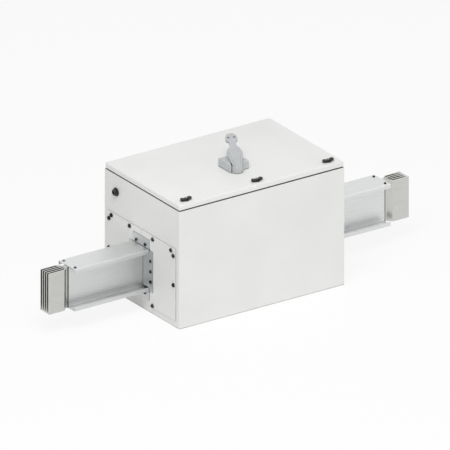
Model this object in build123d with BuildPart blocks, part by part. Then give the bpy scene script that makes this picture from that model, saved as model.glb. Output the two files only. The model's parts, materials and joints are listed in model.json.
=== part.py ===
from build123d import *
from math import acos, atan2, cos, radians, sin
import os

os.makedirs("parts", exist_ok=True)

# Millimetres. The origin is the centre of the enclosure's underside, +X runs along the busway
# from the line end to the load end, -Y is the latched front and +Z is up.

# Enclosure, a welded sheet box with an open top and a turned-in rim
box_length = 900
box_depth = 600
rim_height = 576
wall = 2.5
box_corner = 4
rim_width = 28
rim_lip = 12
opening_width = 440
opening_height = 290

# Lid, a folded pan that sits on a gasket
gasket_height = 6
gasket_width = 14
gasket_inset = 5
seal_clearance = 0.3
lid_height = 24
lid_inset = 2
lid_sheet = 2
lid_bend = 5
lid_corner = 6
lid_return = 22

# Bars and busway casing
bar_height = 200
bar_thickness = 5.5
film = 0.5
bar_count = 5
bar_bend = 8
side_sheet = 2
side_flange = 34
cover_sheet = 3
cover_lip = 20
cover_bend = 3
casing_width = 131
casing_middle = 206
casing_reach = 410
casing_inset = 30
bar_reach = 120
joint_pitch = 16.3
joint_length = 83.5
jog_length = 23
film_reach = 6

# End plates, in two halves, and the brackets that hold the casing in them
plate_sheet = 3
plate_width = 547
plate_height = 353
plate_bottom = 32
plate_seam = 1
bracket_sheet = 3
bracket_bend = 4
bracket_leg = 40
bracket_height = 46
side_bracket_overhang = 28
side_bracket_height = 201
notch_clearance = 1
bracket_clearance = 0.5

# Screws, as shank radius, width across the flats of the head and its height
hole_clearance = 0.2
plate_screw_radius = 5
plate_screw_flats = 16
plate_screw_head_height = 6.4
bracket_screw_radius = 4
bracket_screw_flats = 13
bracket_screw_head_height = 5.3
casing_screw_radius = 3
casing_screw_flats = 10
casing_screw_head_height = 4
screw_end = 4
top_screw_drop = 16
side_screw_inset = 15.5
side_screw_drops = (37, 181)
top_screw_offsets = (93, 239)
bottom_screw_rise = 10
bottom_screw_offset = 91
flange_screw_offset = 35
flange_screw_rise = 15
side_bracket_screw_inset = 14
side_bracket_screw_pitch = 51
casing_screw_end = 16
casing_screw_edge = 20

# Breaker, with its face up, and what carries it
handle_x = -15
handle_y = -124
pole_pitch = 70
breaker_length = 370
breaker_width = 210
case_height = 92
cover_height = 58
cover_length = 290
cover_step = 8
breaker_corner = 4
boss_length = 170
boss_width = 104
boss_height = 10
terminal_width = 44
terminal_thickness = 10
terminal_rise = 64
terminal_reach = 50
terminal_depth = 34
pocket_clearance = 1
tray_height = 140
tray_sheet = 3
tray_length = 400
tray_width = 290
tray_lip = 22
tray_front_offset = 8
pillar_inset_x = 26
pillar_inset_y = 14
pillar_flats = 17
pillar_thread = 4
pillar_end = 2
nut_flats = 13
nut_height = 6.5
barrier_sheet = 2
barrier_reach = 100
barrier_height = 150
barrier_rise = 10
barrier_tongue = 5
barrier_clearance = 0.2
operator_length = 130
operator_width = 96
operator_height = 46
operator_corner = 6
operator_edge = 2

# Route of the bars inside, from the tight stack to the poles
fan_inset = 40
fan_stagger = 14
fan_run = 90
bar_lap = 40
bar_offset = 20
neutral_step = 84
earth_step = 80
support_offset = 15
support_thickness = 16
support_margin = 22
support_slot = 14
support_foot = 40
support_foot_height = 10
slot_clearance = 0.3

# Copper links from bars to terminals
link_thickness = 8
link_width = 50
link_length = 100
link_height = 66
link_bolt_radius = 5
link_bolt_flats = 17
link_bolt_head_height = 6.5
link_bolt_rise = 18
link_bolt_pitch = 32
strap_thickness = 3
strap_width = 30
strap_x = 35
strap_height = 150
strap_foot = 60

# Operating shaft, coupler and handle
shaft_size = 10
shaft_entry = 10
shaft_rise = 5
shaft_edge = 1.5
socket_clearance = 1.5
socket_depth = 18
coupler_radius = 14
coupler_height = 40
coupler_seat = 12
running_clearance = 0.1
handle_direction = 67
hub_radius = 27
hub_ring = 20
hub_height = 30
hub_gap = 0.3
crown_radius = 24
grip_rise = 42
grip_incline = 23.5
grip_drop = 8
grip_thickness = 10
grip_edge = 3
grip_reach = 153
bulge_reach = 71
bulge_width = 79
bulge_radius = 38
neck_start = 103
neck_end = 128
neck_width = 31
neck_radius = 24
neck_end_radius = 15
head_width = 54
eye_radius = 5.5
eye_offset = 13.5
ridge_height = 5
ridge_start = 12
ridge_wide_reach = 74
ridge_narrow = 22
ridge_wide = 57
spigot_radius = 15
spigot_length = 12
bush_wall = 5
bush_flange = 6
bush_flange_height = 4
ring_width = 5
ring_height = 2
ring_groove = 1
block_size = 100
block_height = 39
block_x = 0
block_y = -73
block_edge = 1.5
notch_gap = 3
block_screw_inset = 14
block_screw_rows = 46
block_screw_radius = 2.5
block_screw_flats = 8
block_screw_head_height = 3
block_screw_depth = 12
block_screw_gap = 1

# Wing latches along the front edge, quarter-turn studs in sprung receptacles
latch_end = 63
latch_inset = 40
latch_base_radius = 15
latch_base_height = 5
latch_base_edge = 1
latch_height = 14
wing_length = 60
wing_lobe = 10
wing_waist = 7
wing_edge = 2
stud_radius = 4
stud_length = 58
stud_clearance = 0.4
stud_collar = 7
stud_collar_height = 3
receptacle_clearance = 1
receptacle_sheet = 2.5
receptacle_width = 44
receptacle_height = 34
receptacle_margin = 16
receptacle_ring = 9
receptacle_ring_height = 8

# Hinges along the rear edge
hinge_end = 150
hinge_width = 60
hinge_leaf = 2.5
hinge_radius = 6
hinge_pin = 3
hinge_gap = 0.5
hinge_middle = 22
hinge_drop = 44
hinge_lid_top = 3

# Cable gland on the line end
gland_inset = 96
gland_drop = 81
gland_thread = 12.5
gland_bore = 6.5
gland_flats = 36
gland_hex = 6
gland_cap_radius = 16
gland_cap_length = 11
gland_cap_edge = 3
gland_thread_length = 14
gland_inner = 9
locknut_height = 6
gland_fit = 0.2
gland_stub = 9

# Places worked out from the sizes above
lid_bottom = rim_height + gasket_height
lid_top = lid_bottom + lid_height
bar_pitch = bar_thickness + film
bar_bottom = casing_middle - bar_height / 2
middle_bar = (bar_count - 1) / 2
stack_width = bar_count * bar_thickness + (bar_count + 1) * film
web_width = stack_width + 2 * side_sheet
casing_height = bar_height + 2 * cover_sheet
casing_end = box_length / 2 + casing_reach
casing_length = casing_reach + casing_inset
plate_face = box_length / 2 + plate_sheet
plate_top = plate_bottom + plate_height
plate_middle = plate_bottom + plate_height / 2
bracket_face = plate_face + bracket_sheet
side_bracket_edge = casing_width / 2 + side_bracket_overhang
side_bracket_width = side_bracket_edge - web_width / 2
breaker_y = handle_y
pole_ys = [breaker_y + pole_pitch * (pole - 1) for pole in range(3)]
case_top = tray_height + case_height
cover_top = case_top + cover_height
operator_base = cover_top + boss_height
operator_top = operator_base + operator_height
terminal_level = tray_height + terminal_rise
terminal_top = terminal_level + terminal_thickness
neutral_y = pole_ys[-1] + bar_offset + neutral_step
earth_y = neutral_y + earth_step
inner_ys = [pole_y + bar_offset for pole_y in pole_ys] + [neutral_y, earth_y]
link_end = breaker_length / 2 + pocket_clearance + link_length
bar_end = link_end - bar_lap
fan_start = box_length / 2 - fan_inset
fan_end = fan_start - fan_run
support_x = fan_end - support_offset
latch_spacing = box_length / 2 - latch_end
hinge_spacing = box_length / 2 - hinge_end
gland_y = box_depth / 2 - gland_inset
gland_height = rim_height - gland_drop
sides = {"left": -1, "right": 1}
halves = {"front": -1, "rear": 1}
levels = {"top": 1, "bottom": -1}


def end_plane(side, distance):
    # Faces outwards at one end of the unit, with its local y up
    return Plane(origin=(side * distance, 0, 0), x_dir=(0, side, 0), z_dir=(side, 0, 0))


def casing_outline(growth):
    # The section of the busway casing, grown evenly all round
    with BuildSketch() as outline:
        with Locations((0, casing_middle)):
            Rectangle(web_width, casing_height)
        with Locations(
            *[(0, casing_middle + level * (casing_height - cover_lip) / 2) for level in levels.values()]
        ):
            Rectangle(casing_width, cover_lip)
        if growth:
            offset(amount=growth, kind=Kind.INTERSECTION)
    return outline.sketch


def hex_bolt(shank_radius, shank_length, flats, head_height):
    # A plain shank along Z under a hexagon head, seated at zero
    with BuildPart() as piece:
        with BuildSketch():
            RegularPolygon(flats / 2, 6, major_radius=False)
        extrude(amount=head_height)
        Cylinder(shank_radius, shank_length, align=(Align.CENTER, Align.CENTER, Align.MAX))
    return piece.part


def plate_screw_points(hand):
    # Screws of one half end plate: the top row, the outer column and the bottom edge
    column = plate_width / 2 - side_screw_inset
    points = [(hand * offset, plate_top - top_screw_drop) for offset in top_screw_offsets]
    points += [(hand * column, plate_top - drop) for drop in side_screw_drops]
    points.append((hand * bottom_screw_offset, plate_bottom + bottom_screw_rise))
    return points


def flange_screw_points():
    # Screws of the brackets above and below the casing
    rise = casing_height / 2 + flange_screw_rise
    return [
        (hand * flange_screw_offset, casing_middle + level * rise)
        for hand in (-1, 1)
        for level in levels.values()
    ]


def side_screw_points(hand):
    # Screws of the bracket beside the casing
    column = side_bracket_edge - side_bracket_screw_inset
    return [(hand * column, casing_middle + step * side_bracket_screw_pitch) for step in (-1, 0, 1)]


# Enclosure body
with BuildPart() as enclosure_body:
    with BuildSketch():
        RectangleRounded(box_length, box_depth, box_corner)
    extrude(amount=rim_height)
    with BuildSketch(Plane.XY.offset(wall)):
        RectangleRounded(box_length - 2 * wall, box_depth - 2 * wall, box_corner - wall)
    extrude(amount=rim_height - 2 * wall, mode=Mode.SUBTRACT)
    with BuildSketch(Plane.XY.offset(rim_height - rim_lip)):
        Rectangle(box_length - 2 * (rim_width - wall), box_depth - 2 * (rim_width - wall))
    extrude(amount=rim_lip)
    with BuildSketch(Plane.XY.offset(rim_height - rim_lip)):
        Rectangle(box_length - 2 * rim_width, box_depth - 2 * rim_width)
    extrude(amount=rim_lip, mode=Mode.SUBTRACT)
    for side in sides.values():
        with BuildSketch(end_plane(side, box_length / 2)):
            with Locations((0, plate_middle)):
                Rectangle(opening_width, opening_height)
        extrude(amount=-wall, mode=Mode.SUBTRACT)
        with BuildSketch(end_plane(side, box_length / 2)):
            with Locations(*plate_screw_points(1), *plate_screw_points(-1)):
                Circle(plate_screw_radius + hole_clearance)
        extrude(amount=-wall, mode=Mode.SUBTRACT)
    with BuildSketch(end_plane(-1, box_length / 2)):
        with Locations((-gland_y, gland_height)):
            Circle(gland_thread + gland_fit)
    extrude(amount=-wall, mode=Mode.SUBTRACT)
enclosure_body.part.label = "enclosure_body"
export_step(enclosure_body.part, "parts/enclosure_body.step")

# End plates, each in a front and a rear half round the casing
notch_outline = casing_outline(bracket_sheet + notch_clearance)
for side_name, side in sides.items():
    for half_name, half in halves.items():
        hand = side * half
        with BuildPart() as end_plate:
            with BuildSketch(end_plane(side, box_length / 2)):
                with Locations((hand * (plate_width + plate_seam) / 4, plate_middle)):
                    Rectangle((plate_width - plate_seam) / 2, plate_height)
                add(notch_outline, mode=Mode.SUBTRACT)
                with Locations(*plate_screw_points(hand)):
                    Circle(plate_screw_radius + hole_clearance, mode=Mode.SUBTRACT)
                with Locations(*flange_screw_points(), *side_screw_points(hand)):
                    Circle(bracket_screw_radius + hole_clearance, mode=Mode.SUBTRACT)
            extrude(amount=plate_sheet)
        end_plate.part.label = f"end_plate_{side_name}_{half_name}"
        export_step(end_plate.part, f"parts/end_plate_{side_name}_{half_name}.step")

# Brackets between casing and end plates, above and below the flanges and beside the web
clear_outline = casing_outline(bracket_clearance)
for side_name, side in sides.items():
    with BuildPart() as flange_brackets:
        for level in levels.values():
            edge = casing_middle + level * casing_height / 2
            with BuildSketch(end_plane(side, plate_face)):
                with Locations((0, edge + level * bracket_height / 2)):
                    Rectangle(casing_width, bracket_height)
                with Locations(*flange_screw_points()):
                    Circle(bracket_screw_radius + hole_clearance, mode=Mode.SUBTRACT)
            extrude(amount=bracket_sheet)
            with BuildSketch(end_plane(side, bracket_face)):
                with Locations((0, edge + level * bracket_sheet / 2)):
                    Rectangle(casing_width, bracket_sheet)
            extrude(amount=-bracket_leg)
        bends = flange_brackets.edges().filter_by(Axis.Y).group_by(Axis.X)[-1 if side > 0 else 0]
        fillet(bends.sort_by(Axis.Z)[1:3], bracket_bend)
    flange_brackets.part.label = f"flange_brackets_{side_name}"
    export_step(flange_brackets.part, f"parts/flange_brackets_{side_name}.step")

    with BuildPart() as side_brackets:
        for half in halves.values():
            with BuildSketch(end_plane(side, plate_face)):
                with Locations((half * (web_width + side_bracket_width) / 2, casing_middle)):
                    Rectangle(side_bracket_width, side_bracket_height)
                add(clear_outline, mode=Mode.SUBTRACT)
                with Locations(*side_screw_points(half)):
                    Circle(bracket_screw_radius + hole_clearance, mode=Mode.SUBTRACT)
            extrude(amount=bracket_sheet)
            leg_y = half * (web_width / 2 + bracket_clearance + bracket_sheet / 2)
            with BuildSketch(end_plane(side, bracket_face)):
                with Locations((leg_y, casing_middle)):
                    Rectangle(bracket_sheet, casing_height - 2 * cover_lip - 2 * bracket_clearance)
            extrude(amount=-bracket_leg)
    side_brackets.part.label = f"side_brackets_{side_name}"
    export_step(side_brackets.part, f"parts/side_brackets_{side_name}.step")

# Busway casing, two covers and two side plates at each end
for side_name, side in sides.items():
    casing_screw_x = side * (casing_end - casing_screw_end)
    casing_screw_y = casing_width / 2 - casing_screw_edge
    casing_screw_places = [(casing_screw_x, -casing_screw_y), (casing_screw_x, casing_screw_y)]
    with BuildPart() as casing_covers:
        for level in levels.values():
            with BuildSketch(end_plane(side, casing_end)):
                with Locations((0, casing_middle + level * (casing_height - cover_lip) / 2)):
                    Rectangle(casing_width, cover_lip)
                with Locations((0, casing_middle + level * (bar_height - cover_lip) / 2)):
                    Rectangle(casing_width - 2 * cover_sheet, cover_lip, mode=Mode.SUBTRACT)
            extrude(amount=-casing_length)
        long_edges = casing_covers.edges().filter_by(Axis.X)
        outer_edges = long_edges.group_by(Axis.Z)[0] + long_edges.group_by(Axis.Z)[-1]
        fillet(outer_edges, cover_bend)
        with BuildSketch():
            with Locations(*casing_screw_places):
                Circle(casing_screw_radius + hole_clearance)
        extrude(amount=rim_height, mode=Mode.SUBTRACT)
    casing_covers.part.label = f"casing_covers_{side_name}"
    export_step(casing_covers.part, f"parts/casing_covers_{side_name}.step")

    with BuildPart() as casing_sides:
        for half in halves.values():
            with BuildSketch(end_plane(side, casing_end)):
                with Locations((half * (web_width - side_sheet) / 2, casing_middle)):
                    Rectangle(side_sheet, bar_height)
                for level in levels.values():
                    flange_level = casing_middle + level * (bar_height - side_sheet) / 2
                    with Locations((half * (web_width + side_flange) / 2, flange_level)):
                        Rectangle(side_flange, side_sheet)
            extrude(amount=-casing_length)
        with BuildSketch():
            with Locations(*casing_screw_places):
                Circle(casing_screw_radius + hole_clearance)
        extrude(amount=rim_height, mode=Mode.SUBTRACT)
    casing_sides.part.label = f"casing_sides_{side_name}"
    export_step(casing_sides.part, f"parts/casing_sides_{side_name}.step")


def outer_route(index, side):
    # Plan route of one bar from its tip to the tight stack in the casing
    joint_y = (index - middle_bar) * joint_pitch
    tight_y = (index - middle_bar) * bar_pitch
    tip_x = casing_end + bar_reach
    flare_x = tip_x - joint_length
    route = [(side * tip_x, joint_y)]
    if index != middle_bar:
        route += [(side * flare_x, joint_y), (side * (flare_x - jog_length), tight_y)]
    return route


def inner_route(index, side):
    # Plan route of one bar from the tight stack out to its place inside the enclosure
    tight_y = (index - middle_bar) * bar_pitch
    turn_x = fan_start - fan_stagger * (middle_bar - abs(index - middle_bar))
    return [(side * turn_x, tight_y), (side * fan_end, inner_ys[index])]


def bar(route):
    # A flat bar on edge, bent along its plan route
    with BuildPart() as piece:
        with BuildSketch(Plane.XY.offset(bar_bottom)):
            with BuildLine():
                FilletPolyline(*route, radius=bar_bend)
            trace(line_width=bar_thickness)
        extrude(amount=bar_height)
    return piece.part


# Line and load bars, one for each pole at each end
lowest_hole = terminal_level - link_thickness + link_bolt_rise
link_holes = [lowest_hole, lowest_hole + link_bolt_pitch]
link_bolt_x = (bar_end + link_end) / 2
for bar_name, side in {"line_bar": -1, "load_bar": 1}.items():
    for index in range(3):
        route = outer_route(index, side) + inner_route(index, side) + [(side * bar_end, inner_ys[index])]
        with BuildPart() as phase_bar:
            add(bar(route))
            with BuildSketch(Plane.XZ):
                with Locations(*[(side * link_bolt_x, hole) for hole in link_holes]):
                    Circle(link_bolt_radius + hole_clearance)
            extrude(amount=box_depth / 2, mode=Mode.SUBTRACT)
        phase_bar.part.label = f"{bar_name}_{index + 1}"
        export_step(phase_bar.part, f"parts/{bar_name}_{index + 1}.step")

# Neutral and earth bars, which run straight through the unit
for index, bar_name in {3: "neutral_bar", 4: "earth_bar"}.items():
    route = outer_route(index, -1) + inner_route(index, -1)
    route += list(reversed(outer_route(index, 1) + inner_route(index, 1)))
    through_bar = bar(route)
    through_bar.label = bar_name
    export_step(through_bar, f"parts/{bar_name}.step")

# Insulating films between the bars and against the side plates
for side_name, side in sides.items():
    film_end = casing_end + film_reach
    film_length = film_end - (fan_start + bar_bend)
    with BuildPart() as bar_films:
        with BuildSketch(end_plane(side, film_end)):
            for gap in range(bar_count + 1):
                with Locations(((gap - bar_count / 2) * bar_pitch, casing_middle)):
                    Rectangle(film, bar_height)
        extrude(amount=-film_length)
    bar_films.part.label = f"bar_films_{side_name}"
    export_step(bar_films.part, f"parts/bar_films_{side_name}.step")

# Comb supports that carry the bars inside the enclosure
for side_name, side in sides.items():
    support_front = inner_ys[0] - support_margin
    support_rear = inner_ys[-1] + support_margin
    support_width = support_rear - support_front
    support_y = (support_front + support_rear) / 2
    with BuildPart() as bar_support:
        with BuildSketch(end_plane(side, support_x - support_thickness / 2)):
            with Locations((side * support_y, wall)):
                Rectangle(support_width, bar_bottom - wall + support_slot, align=(Align.CENTER, Align.MIN))
            for inner_y in inner_ys:
                with Locations((side * inner_y, bar_bottom)):
                    Rectangle(
                        bar_thickness + 2 * slot_clearance,
                        support_slot,
                        align=(Align.CENTER, Align.MIN),
                        mode=Mode.SUBTRACT,
                    )
        extrude(amount=support_thickness)
        with BuildSketch(Plane.XY.offset(wall)):
            with Locations((side * support_x, support_y)):
                Rectangle(support_foot, support_width)
        extrude(amount=support_foot_height)
    bar_support.part.label = f"bar_support_{side_name}"
    export_step(bar_support.part, f"parts/bar_support_{side_name}.step")

# Mounting tray of the breaker, with its long edges turned down, on four pillars
tray_y = breaker_y + tray_front_offset
pillar_spacing_x = tray_length - 2 * pillar_inset_x
pillar_spacing_y = tray_width - 2 * pillar_inset_y
with BuildPart() as mounting_tray:
    with BuildSketch(Plane.XY.offset(tray_height - tray_lip)):
        with Locations((0, tray_y)):
            Rectangle(tray_length, tray_width)
    extrude(amount=tray_lip)
    long_edges = mounting_tray.edges().filter_by(Axis.X).group_by(Axis.Z)[-1]
    fillet(long_edges, 2 * tray_sheet)
    with BuildSketch(Plane.YZ.offset(-tray_length / 2)):
        with Locations((tray_y, tray_height - tray_lip)):
            Rectangle(tray_width - 2 * tray_sheet, tray_lip - tray_sheet, align=(Align.CENTER, Align.MIN))
    extrude(amount=tray_length, mode=Mode.SUBTRACT)
    with BuildSketch(Plane.XY.offset(tray_height)):
        with Locations((0, tray_y)):
            with GridLocations(pillar_spacing_x, pillar_spacing_y, 2, 2):
                Circle(pillar_thread + hole_clearance)
    extrude(amount=-tray_sheet, mode=Mode.SUBTRACT)
mounting_tray.part.label = "mounting_tray"
export_step(mounting_tray.part, "parts/mounting_tray.step")

with BuildPart() as tray_pillars:
    with BuildSketch(Plane.XY.offset(wall)):
        with Locations((0, tray_y)):
            with GridLocations(pillar_spacing_x, pillar_spacing_y, 2, 2):
                RegularPolygon(pillar_flats / 2, 6, major_radius=False)
    extrude(amount=tray_height - tray_sheet - wall)
    with BuildSketch(Plane.XY.offset(tray_height - tray_sheet)):
        with Locations((0, tray_y)):
            with GridLocations(pillar_spacing_x, pillar_spacing_y, 2, 2):
                Circle(pillar_thread)
    extrude(amount=tray_sheet + nut_height + pillar_end)
tray_pillars.part.label = "tray_pillars"
export_step(tray_pillars.part, "parts/tray_pillars.step")

with BuildPart() as tray_nuts:
    with BuildSketch(Plane.XY.offset(tray_height)):
        with Locations((0, tray_y)):
            with GridLocations(pillar_spacing_x, pillar_spacing_y, 2, 2):
                RegularPolygon(nut_flats / 2, 6, major_radius=False)
                Circle(pillar_thread + running_clearance, mode=Mode.SUBTRACT)
    extrude(amount=nut_height)
tray_nuts.part.label = "tray_nuts"
export_step(tray_nuts.part, "parts/tray_nuts.step")

# Breaker case, with a pocket at each pole end for its terminal and slots for the barriers
terminal_places = [(side * breaker_length / 2, pole_y) for side in sides.values() for pole_y in pole_ys]
barrier_ys = [breaker_y + pole_pitch * step for step in (-0.5, 0.5)]
with BuildPart() as breaker_case:
    with BuildSketch(Plane.XY.offset(tray_height)):
        with Locations((0, breaker_y)):
            RectangleRounded(breaker_length, breaker_width, breaker_corner)
    extrude(amount=case_height)
    with BuildSketch(Plane.XY.offset(terminal_level)):
        with Locations(*terminal_places):
            Rectangle(2 * terminal_depth, terminal_width + 2 * pocket_clearance)
    extrude(amount=case_height, mode=Mode.SUBTRACT)
    with BuildSketch(Plane.XY.offset(tray_height + barrier_rise)):
        with Locations(*[(side * breaker_length / 2, y) for side in sides.values() for y in barrier_ys]):
            Rectangle(2 * (barrier_tongue + barrier_clearance), barrier_sheet + 2 * barrier_clearance)
    extrude(amount=case_height, mode=Mode.SUBTRACT)
breaker_case.part.label = "breaker_case"
export_step(breaker_case.part, "parts/breaker_case.step")

# Breaker cover, shorter than the case so that the terminals can be reached, with a raised boss
with BuildPart() as breaker_cover:
    with BuildSketch(Plane.XY.offset(case_top)):
        with Locations((0, breaker_y)):
            RectangleRounded(cover_length, breaker_width, breaker_corner)
    extrude(amount=cover_height)
    chamfer(breaker_cover.faces().sort_by(Axis.Z)[-1].edges(), cover_step / 2)
    with BuildSketch(Plane.XY.offset(cover_top)):
        with Locations((handle_x, handle_y)):
            RectangleRounded(boss_length, boss_width, breaker_corner)
    extrude(amount=boss_height)
breaker_cover.part.label = "breaker_cover"
export_step(breaker_cover.part, "parts/breaker_cover.step")

# Terminal pads, seated in the pockets of the case
pad_length = terminal_depth + terminal_reach - pocket_clearance
with BuildPart() as breaker_terminals:
    with BuildSketch(Plane.XY.offset(terminal_level)):
        for side in sides.values():
            pad_x = side * (breaker_length / 2 + terminal_reach - pad_length / 2)
            with Locations(*[(pad_x, pole_y) for pole_y in pole_ys]):
                Rectangle(pad_length, terminal_width)
            bolt_x = side * (breaker_length + terminal_reach) / 2
            with Locations(*[(bolt_x, pole_y) for pole_y in pole_ys]):
                Circle(link_bolt_radius + hole_clearance, mode=Mode.SUBTRACT)
    extrude(amount=terminal_thickness)
breaker_terminals.part.label = "breaker_terminals"
export_step(breaker_terminals.part, "parts/breaker_terminals.step")

# Insulating barriers between the poles, with a tongue in the slots of the case
with BuildPart() as phase_barriers:
    for side in sides.values():
        with BuildSketch(Plane.XY.offset(tray_height + barrier_rise)):
            barrier_x = side * (breaker_length / 2 + (barrier_reach - barrier_tongue) / 2)
            with Locations(*[(barrier_x, barrier_y) for barrier_y in barrier_ys]):
                Rectangle(barrier_reach + barrier_tongue, barrier_sheet)
        extrude(amount=case_height - barrier_rise)
        with BuildSketch(Plane.XY.offset(case_top)):
            barrier_x = side * (breaker_length + barrier_reach) / 2
            with Locations(*[(barrier_x, barrier_y) for barrier_y in barrier_ys]):
                Rectangle(barrier_reach, barrier_sheet)
        extrude(amount=barrier_height - case_height + barrier_rise)
phase_barriers.part.label = "phase_barriers"
export_step(phase_barriers.part, "parts/phase_barriers.step")

# Copper links, an upright leg on the bar and a foot under the terminal pad
with BuildPart() as terminal_links:
    for side in sides.values():
        for pole_y in pole_ys:
            leg_front = pole_y + bar_offset + bar_thickness / 2
            foot_width = leg_front + link_thickness - pole_y + terminal_width / 2
            foot_x = side * (breaker_length / 2 + pocket_clearance + link_width / 2)
            foot_y = leg_front + link_thickness - foot_width / 2
            leg_x = side * (breaker_length / 2 + pocket_clearance + link_length / 2)
            with BuildSketch(Plane.XY.offset(terminal_level)):
                with Locations((foot_x, foot_y)):
                    Rectangle(link_width, foot_width)
                with Locations((side * (breaker_length + terminal_reach) / 2, pole_y)):
                    Circle(link_bolt_radius + hole_clearance, mode=Mode.SUBTRACT)
            extrude(amount=-link_thickness)
            with BuildSketch(Plane.XY.offset(terminal_level - link_thickness)):
                with Locations((leg_x, leg_front + link_thickness / 2)):
                    Rectangle(link_length, link_thickness)
            extrude(amount=link_height)
    with BuildSketch(Plane.XZ):
        with Locations(*[(side * link_bolt_x, hole) for side in sides.values() for hole in link_holes]):
            Circle(link_bolt_radius + hole_clearance)
    extrude(amount=box_depth / 2, mode=Mode.SUBTRACT)
terminal_links.part.label = "terminal_links"
export_step(terminal_links.part, "parts/terminal_links.step")

# Link bolts, through the bars and down through the terminal pads
link_grip = bar_thickness + link_thickness
pad_grip = terminal_thickness + link_thickness
link_bolt = hex_bolt(link_bolt_radius, link_grip, link_bolt_flats, link_bolt_head_height)
pad_bolt = hex_bolt(link_bolt_radius, pad_grip, link_bolt_flats, link_bolt_head_height)
with BuildPart() as link_bolts:
    for side in sides.values():
        for pole_y in pole_ys:
            bar_face = pole_y + bar_offset - bar_thickness / 2
            bolt_places = [
                Plane(origin=(side * link_bolt_x, bar_face, hole), z_dir=(0, -1, 0)) for hole in link_holes
            ]
            with Locations(*bolt_places):
                add(link_bolt)
            with Locations((side * (breaker_length + terminal_reach) / 2, pole_y, terminal_top)):
                add(pad_bolt)
link_bolts.part.label = "link_bolts"
export_step(link_bolts.part, "parts/link_bolts.step")

# Earth strap from the earth bar to the enclosure floor
strap_face = earth_y + bar_thickness / 2
with BuildPart() as earth_strap:
    with BuildSketch(Plane.YZ.offset(strap_x)):
        with BuildLine():
            Polyline(
                (strap_face + strap_thickness / 2, strap_height),
                (strap_face + strap_thickness / 2, wall + strap_thickness / 2),
                (strap_face + strap_foot, wall + strap_thickness / 2),
            )
        trace(line_width=strap_thickness)
    extrude(amount=strap_width)
earth_strap.part.label = "earth_strap"
export_step(earth_strap.part, "parts/earth_strap.step")

# Rotary operator on the cover's boss, with a bore for the coupler
with BuildPart() as rotary_operator:
    with BuildSketch(Plane.XY.offset(operator_base)):
        with Locations((handle_x, handle_y)):
            RectangleRounded(operator_length, operator_width, operator_corner)
    extrude(amount=operator_height)
    chamfer(rotary_operator.faces().sort_by(Axis.Z)[-1].edges(), operator_edge)
    with BuildSketch(Plane.XY.offset(operator_top)):
        with Locations((handle_x, handle_y)):
            Circle(coupler_radius + running_clearance)
    extrude(amount=-coupler_seat, mode=Mode.SUBTRACT)
rotary_operator.part.label = "rotary_operator"
export_step(rotary_operator.part, "parts/rotary_operator.step")


def shaft_plane(height):
    # Square to the handle's direction, on the shaft's axis
    direction = radians(handle_direction)
    return Plane(origin=(handle_x, handle_y, height), x_dir=(cos(direction), sin(direction), 0))


# Coupler that turns in the operator and holds the square shaft
coupler_base = operator_top - coupler_seat + seal_clearance
with BuildPart() as shaft_coupler:
    with BuildSketch(shaft_plane(coupler_base)):
        Circle(coupler_radius)
    extrude(amount=coupler_height)
    chamfer(shaft_coupler.faces().sort_by(Axis.Z)[-1].edges(), shaft_edge)
    with BuildSketch(shaft_plane(coupler_base + shaft_rise)):
        Rectangle(shaft_size, shaft_size)
    extrude(amount=coupler_height, mode=Mode.SUBTRACT)
shaft_coupler.part.label = "shaft_coupler"
export_step(shaft_coupler.part, "parts/shaft_coupler.step")

# Square operating shaft, from the coupler up into the handle
shaft_base = coupler_base + shaft_rise
shaft_top = lid_top + shaft_entry
with BuildPart() as operating_shaft:
    with BuildSketch(shaft_plane(shaft_base)):
        Rectangle(shaft_size, shaft_size)
    extrude(amount=shaft_top - shaft_base)
    chamfer(operating_shaft.faces().sort_by(Axis.Z)[-1].edges(), shaft_edge)
operating_shaft.part.label = "operating_shaft"
export_step(operating_shaft.part, "parts/operating_shaft.step")

# Lid, a folded pan with a return flange, a hole for the handle's bush and holes for the latches
latch_xs = {"left": -latch_spacing, "centre": 0, "right": latch_spacing}
latch_y = latch_inset - box_depth / 2
lid_length = box_length - 2 * lid_inset
lid_depth = box_depth - 2 * lid_inset
bush_radius = spigot_radius + running_clearance + bush_wall
block_screw_spacing = block_size - 2 * block_screw_inset
block_screw_y = block_y + block_size / 2 - block_screw_inset - block_screw_rows / 2
with BuildPart() as lid:
    with BuildSketch(Plane.XY.offset(lid_bottom)):
        RectangleRounded(lid_length, lid_depth, lid_corner)
    extrude(amount=lid_height)
    fillet(lid.faces().sort_by(Axis.Z)[-1].edges(), lid_bend)
    inner_length = lid_length - 2 * lid_sheet
    inner_depth = lid_depth - 2 * lid_sheet
    with BuildSketch(Plane.XY.offset(lid_bottom + lid_sheet)):
        RectangleRounded(inner_length, inner_depth, lid_corner - lid_sheet)
    extrude(amount=lid_height - 2 * lid_sheet, mode=Mode.SUBTRACT)
    with BuildSketch(Plane.XY.offset(lid_bottom)):
        Rectangle(lid_length - 2 * lid_return, lid_depth - 2 * lid_return)
    extrude(amount=lid_sheet, mode=Mode.SUBTRACT)
    with BuildSketch(Plane.XY.offset(lid_top)):
        with Locations((handle_x, handle_y)):
            Circle(bush_radius)
        with Locations(*[(latch_x, latch_y) for latch_x in latch_xs.values()]):
            Circle(stud_radius + stud_clearance)
        with Locations((block_x, block_screw_y)):
            with GridLocations(block_screw_spacing, block_screw_rows, 2, 2):
                Circle(block_screw_radius + hole_clearance)
    extrude(amount=-lid_sheet, mode=Mode.SUBTRACT)
lid.part.label = "lid"
export_step(lid.part, "parts/lid.step")

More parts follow.
